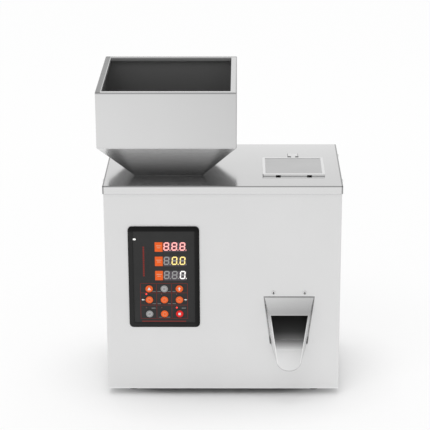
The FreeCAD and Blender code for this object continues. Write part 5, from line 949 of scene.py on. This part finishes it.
dark_lamps = [number for number in range(len(LAMPS)) if number not in LIT]
make_lamps("lamps_lit", LIT, LIT_RADIUS, lamp_red)
make_lamps("lamps_dark", dark_lamps, DARK_RADIUS, lamp_dark)
white_oval_shape = slab(oval(*WHITE_OVAL), OVERLAY_Y - OVAL_RISE, OVERLAY_Y + OVAL_ROOT)
make_piece("white_oval", white_oval_shape, white_oval_glow, "casing")


# keys

MARK_RISE = 0.08
MARK_ROOT = 0.05
KEY_FACE = 5.4
KEY_PROFILE = [
    (0.6, 0.0),
    (3.6, 0.0),
    (4.3, 0.05),
    (4.75, -0.03),
    (5.35, -0.12),
    (5.65, -0.3),
    (5.8, -0.62),
    (5.8, -2.4),
    (3.0, -2.4),
    (3.0, -7.4),
]
KEY_COLOURS = {
    ("top", "left"): "key_orange",
    ("top", "centre"): "key_grey",
    ("top", "right"): "key_orange",
    ("middle", "left"): "key_orange",
    ("middle", "centre"): "key_orange",
    ("middle", "right"): "key_orange",
    ("bottom", "left"): "key_grey",
    ("bottom", "centre"): "key_orange",
    ("bottom", "right"): "key_red",
}
DROP = [(-2.3, -2.0), (2.3, -2.0), (1.9, -0.4), (0.7, 1.2), (0.0, 2.8), (-0.7, 1.2), (-1.9, -0.4)]
ARROW_UP = [(-2.1, 0.1), (-0.9, 0.1), (-0.9, -2.5), (0.9, -2.5), (0.9, 0.1), (2.1, 0.1), (0.0, 2.8)]
SQUARE = [(-1.8, -1.8), (1.8, -1.8), (1.8, 1.8), (-1.8, 1.8)]


def make_key_cap(row, column, slot):
    """A key's cap in place of its node, with a dark skirt beyond its coloured face."""
    name = f"key_{row}_{column}"
    place = key_centre(row, column)
    shape = turned(place, OUTWARD, KEY_PROFILE)
    cap = make_piece(name + "_cap", shape, FINISHES[slot], name, smooth=True)
    cap.data.materials.append(overlay_finish)
    middles = face_values(cap.data, "center") / MM - place
    skirt = np.hypot(middles[:, X], middles[:, Z]) > KEY_FACE
    cap.data.polygons.foreach_set("material_index", skirt.astype(int))
    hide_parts(name)


def mark_key(name, shapes, row, column, ink):
    """Printed shapes on a key, given about its centre."""
    x, front, z = key_centre(row, column)
    parts = [slab(np.asarray(corners) + (x, z), front - MARK_RISE, front + MARK_ROOT) for corners in shapes]
    make_piece(name, gather(parts), ink, f"key_{row}_{column}")


def ring_marks(radius, width, count=10, share=0.8):
    """A broken ring: short bars between two radii, each over its share of an even step."""
    marks = []
    half = math.pi / count * share
    for turn in np.linspace(0, 2 * math.pi, count, endpoint=False):
        angles = np.array([turn - half, turn + half, turn + half, turn - half])
        radii = np.array([radius, radius, radius + width, radius + width])
        marks.append(np.column_stack([radii * np.cos(angles), radii * np.sin(angles)]))
    return marks


for (row, column), slot in KEY_COLOURS.items():
    make_key_cap(row, column, slot)
mark_key("mark_drop", [DROP], "top", "left", white_ink)
mark_key("mark_arrow", [ARROW_UP], "top", "right", white_ink)
mark_key("mark_square", [SQUARE], "bottom", "right", white_ink)
for row, column in (("middle", "left"), ("middle", "centre"), ("middle", "right"), ("bottom", "centre")):
    mark_key(f"mark_ring_{row}_{column}", ring_marks(2.3, 0.45), row, column, pale_ink)
for row, column in (("top", "centre"), ("bottom", "left")):
    mark_key(f"mark_ring_{row}_{column}", ring_marks(2.5, 0.5), row, column, white_ink)


# screw heads, each with its cross recess as a plate of painted shade

HEAD_PROFILE = [(0.5, 1.79), (1.5, 1.78), (2.2, 1.7), (2.72, 1.36), (2.95, 0.72), (2.98, 0.02)]
HEAD_RADIUS = 3.0
ARM = 2.0
HALF = 0.55
CROSS = [(-HALF, -ARM), (HALF, -ARM), (HALF, -HALF), (ARM, -HALF), (ARM, HALF), (HALF, HALF), (HALF, ARM),
         (-HALF, ARM), (-HALF, HALF), (-ARM, HALF), (-ARM, -HALF), (-HALF, -HALF)]
CROSS_HEIGHTS = (1.5, 1.8)
COVER_SCREWS = [(y, 320.0) for y in (-60.0, 60.0)]
BACK_SCREWS = [(x, z) for x in (-162.5, 162.5) for z in (37.5, 167.5, 297.5)]
# painted shade: a near-black plate stands for the shade in each cross recess
recess_painted_shade = moulded("recess_dark_painted_shade", grey(16), 0.6, gloss=0.1)


def cross_part(centre, outward):
    """The cross of a recess as a thin dark plate on a head, painted shade for the hollow: corners in the
    head's plane, at two heights.
    """
    outward = np.asarray(outward, float)
    flat = np.asarray(CROSS) @ np.stack(across(outward))
    rings = np.stack([np.asarray(centre) + flat + height * outward for height in CROSS_HEIGHTS])
    return capped(rings)


def dress_screws(name, places, outward):
    """Heads over the CAD screws of one side, with their recesses drawn as dark plates of painted shade."""
    heads = [turned(place, outward, HEAD_PROFILE, steps=32) for place in places]
    crosses = [cross_part(place, outward) for place in places]
    make_piece(name + "_heads", gather(heads), screw_finish, "casing", smooth=True)
    make_piece(name + "_crosses", gather(crosses), recess_painted_shade, "casing")


screws_low, screws_high = box_of("spout_screws")
screw_height = (screws_low[Z] + screws_high[Z]) / 2
screw_columns = (screws_low[X] + HEAD_RADIUS, screws_high[X] - HEAD_RADIUS)
spout_screws = [(x, CASING_LOW[Y], screw_height) for x in screw_columns]
dress_screws("spout_screw", spout_screws, OUTWARD)
dress_screws("left_screw", [(COVER_LOW[X], *place) for place in COVER_SCREWS], (-1, 0, 0))
dress_screws("right_screw", [(COVER_HIGH[X], *place) for place in COVER_SCREWS], (1, 0, 0))
dress_screws("back_screw", [(x, CASING_HIGH[Y], z) for x, z in BACK_SCREWS], (0, 1, 0))


# pins of the power inlet

PIN_HALF = (1.05, 2.05)
PIN_PLACES = ((104.0, 50.0), (111.0, 54.0), (118.0, 50.0))
PIN_ENDS = (86.0, 98.1)


def pin_part(x, z):
    """One flat pin that stands in the inlet's opening."""
    half_x, half_z = PIN_HALF
    return strip(x - half_x, x + half_x, z - half_z, z + half_z, *PIN_ENDS)


inlet_pins = [pin_part(*place) for place in PIN_PLACES]
make_piece("inlet_pins", gather(inlet_pins), screw_finish, "casing")


# floor, light and camera

FLOOR_LEVEL = 0.95
FLOOR_HALF = 6000.0
FLOOR_STRETCH = (0.74, 1, 0)
# distance from the middle in metres, and how white the floor is there
WHITE_STOPS = ((0.11, 0.0), (0.15, 0.3), (0.22, 0.66), (0.45, 0.85), (1.2, 0.95))


# share of the floor's white that also falls on the object as light
FLOOR_GLOW = 0.5


def seen_share(tree):
    """All of the floor's white in the camera, in metal or through a clear piece, else FLOOR_GLOW of it."""
    path = tree.nodes.new("ShaderNodeLightPath")
    seen = FLOOR_GLOW
    for ray in ("Is Camera Ray", "Is Glossy Ray", "Is Transmission Ray"):
        seen = combined(tree, "MAXIMUM", path.outputs[ray], seen)
    return seen


def white_share(tree):
    """How white the floor is: WHITE_STOPS along the length of the stretched place."""
    distance = tree.nodes.new("ShaderNodeVectorMath")
    distance.operation = "LENGTH"
    tree.links.new(stretched(tree, FLOOR_STRETCH), distance.inputs[0])
    reach = WHITE_STOPS[-1][0]
    ramp = tree.nodes.new("ShaderNodeValToRGB")
    tree.links.new(spread(tree, distance.outputs["Value"], 0, 1, 0, reach), ramp.inputs["Fac"])
    fill_ramp(ramp, [(place / reach, (share, share, share, 1)) for place, share in WHITE_STOPS])
    return ramp.outputs["Color"]


def studio_floor():
    """A wide pale floor that keeps the object's soft shadow and turns white further out."""
    mesh = bpy.data.meshes.new("studio_floor")
    corners = np.array([(-1, -1, 0), (1, -1, 0), (1, 1, 0), (-1, 1, 0)]) * FLOOR_HALF * MM
    mesh.from_pydata(corners.tolist(), [], [[0, 1, 2, 3]])
    item = bpy.data.objects.new("studio_floor", mesh)
    bpy.context.scene.collection.objects.link(item)
    material, shader = new_material("studio_floor")
    tree = material.node_tree
    shader.inputs["Base Color"].default_value = (FLOOR_LEVEL, FLOOR_LEVEL, FLOOR_LEVEL, 1)
    shader.inputs["Roughness"].default_value = 0.9
    shader.inputs["Specular IOR Level"].default_value = 0.05
    white = tree.nodes.new("ShaderNodeEmission")
    mixed = tree.nodes.new("ShaderNodeMixShader")
    tree.links.new(combined(tree, "MULTIPLY", seen_share(tree), white_share(tree)), mixed.inputs[0])
    tree.links.new(shader.outputs[0], mixed.inputs[1])
    tree.links.new(white.outputs[0], mixed.inputs[2])
    tree.links.new(mixed.outputs[0], tree.nodes["Material Output"].inputs["Surface"])
    item.data.materials.append(material)


def studio_world(even, low, high):
    """A soft sky: even light on the object, a little darker overhead in metal, white for the camera."""
    world = bpy.data.worlds.new("studio")
    bpy.context.scene.world = world
    world.use_nodes = True
    tree = world.node_tree
    background = tree.nodes["Background"]
    direction = tree.nodes.new("ShaderNodeTexCoord")
    parts = tree.nodes.new("ShaderNodeSeparateXYZ")
    tree.links.new(direction.outputs["Generated"], parts.inputs[0])
    path = tree.nodes.new("ShaderNodeLightPath")
    strength = even
    for ray, level in (
        ("Is Glossy Ray", spread(tree, parts.outputs[Z], low, high, 0.2, 1.0)),
        ("Is Transmission Ray", 1.0),
        ("Is Camera Ray", 1.0),
    ):
        mixed = tree.nodes.new("ShaderNodeMix")
        mixed.data_type = "FLOAT"
        for socket, source in ((0, path.outputs[ray]), (2, strength), (3, level)):
            feed(tree, mixed.inputs[socket], source)
        strength = mixed.outputs[0]
    background.inputs["Color"].default_value = (1, 1, 1, 1)
    tree.links.new(strength, background.inputs["Strength"])


def soft_box(name, place, target, size, power):
    """A large square area light that faces a point and doesn't show in metal; lengths in metres."""
    data = bpy.data.lights.new(name, "AREA")
    data.shape = "SQUARE"
    data.size = size
    data.energy = power
    item = bpy.data.objects.new(name, data)
    bpy.context.scene.collection.objects.link(item)
    item.visible_glossy = False
    item.location = Vector(place)
    aim = Vector(target) - Vector(place)
    item.rotation_mode = "QUATERNION"
    item.rotation_quaternion = aim.to_track_quat("-Z", "Y")


FRAME_PIXELS = 430
FOCAL_PIXELS = 1702.22
CENTRE_PIXEL = 228.854
SENSOR = 36.0
PITCH = 0.3404
YAW = -0.0082
ROLL = -0.0029
EYE = (27.58, -2389.91, 1093.23)


def photo_camera():
    """A camera at the photo's place: turned by yaw, tipped down by pitch and rolled about its aim."""
    data = bpy.data.cameras.new("camera")
    data.sensor_width = SENSOR
    data.lens = FOCAL_PIXELS / FRAME_PIXELS * SENSOR
    data.shift_x = 0.5 - CENTRE_PIXEL / FRAME_PIXELS
    data.clip_start = 0.1
    data.clip_end = 50
    camera = bpy.data.objects.new("camera", data)
    bpy.context.scene.collection.objects.link(camera)
    forward = Vector((math.sin(YAW) * math.cos(PITCH), math.cos(YAW) * math.cos(PITCH), -math.sin(PITCH)))
    level_right = Vector((math.cos(YAW), -math.sin(YAW), 0))
    level_up = level_right.cross(forward)
    right = level_right * math.cos(ROLL) + level_up * math.sin(ROLL)
    up = -level_right * math.sin(ROLL) + level_up * math.cos(ROLL)
    turn = Matrix((right, up, -forward)).transposed().to_4x4()
    camera.matrix_world = Matrix.Translation(Vector(EYE) * MM) @ turn
    bpy.context.scene.camera = camera


studio_floor()
studio_world(even=0.64, low=0.92, high=0.84)
soft_box("key_light", (-1.0, -1.6, 2.6), (0, 0, 0.2), size=1.4, power=14)
soft_box("top_light", (0.0, 0.3, 2.8), (0, 0.1, 0), size=1.2, power=22)
photo_camera()
bpy.context.scene.view_settings.view_transform = "Standard"
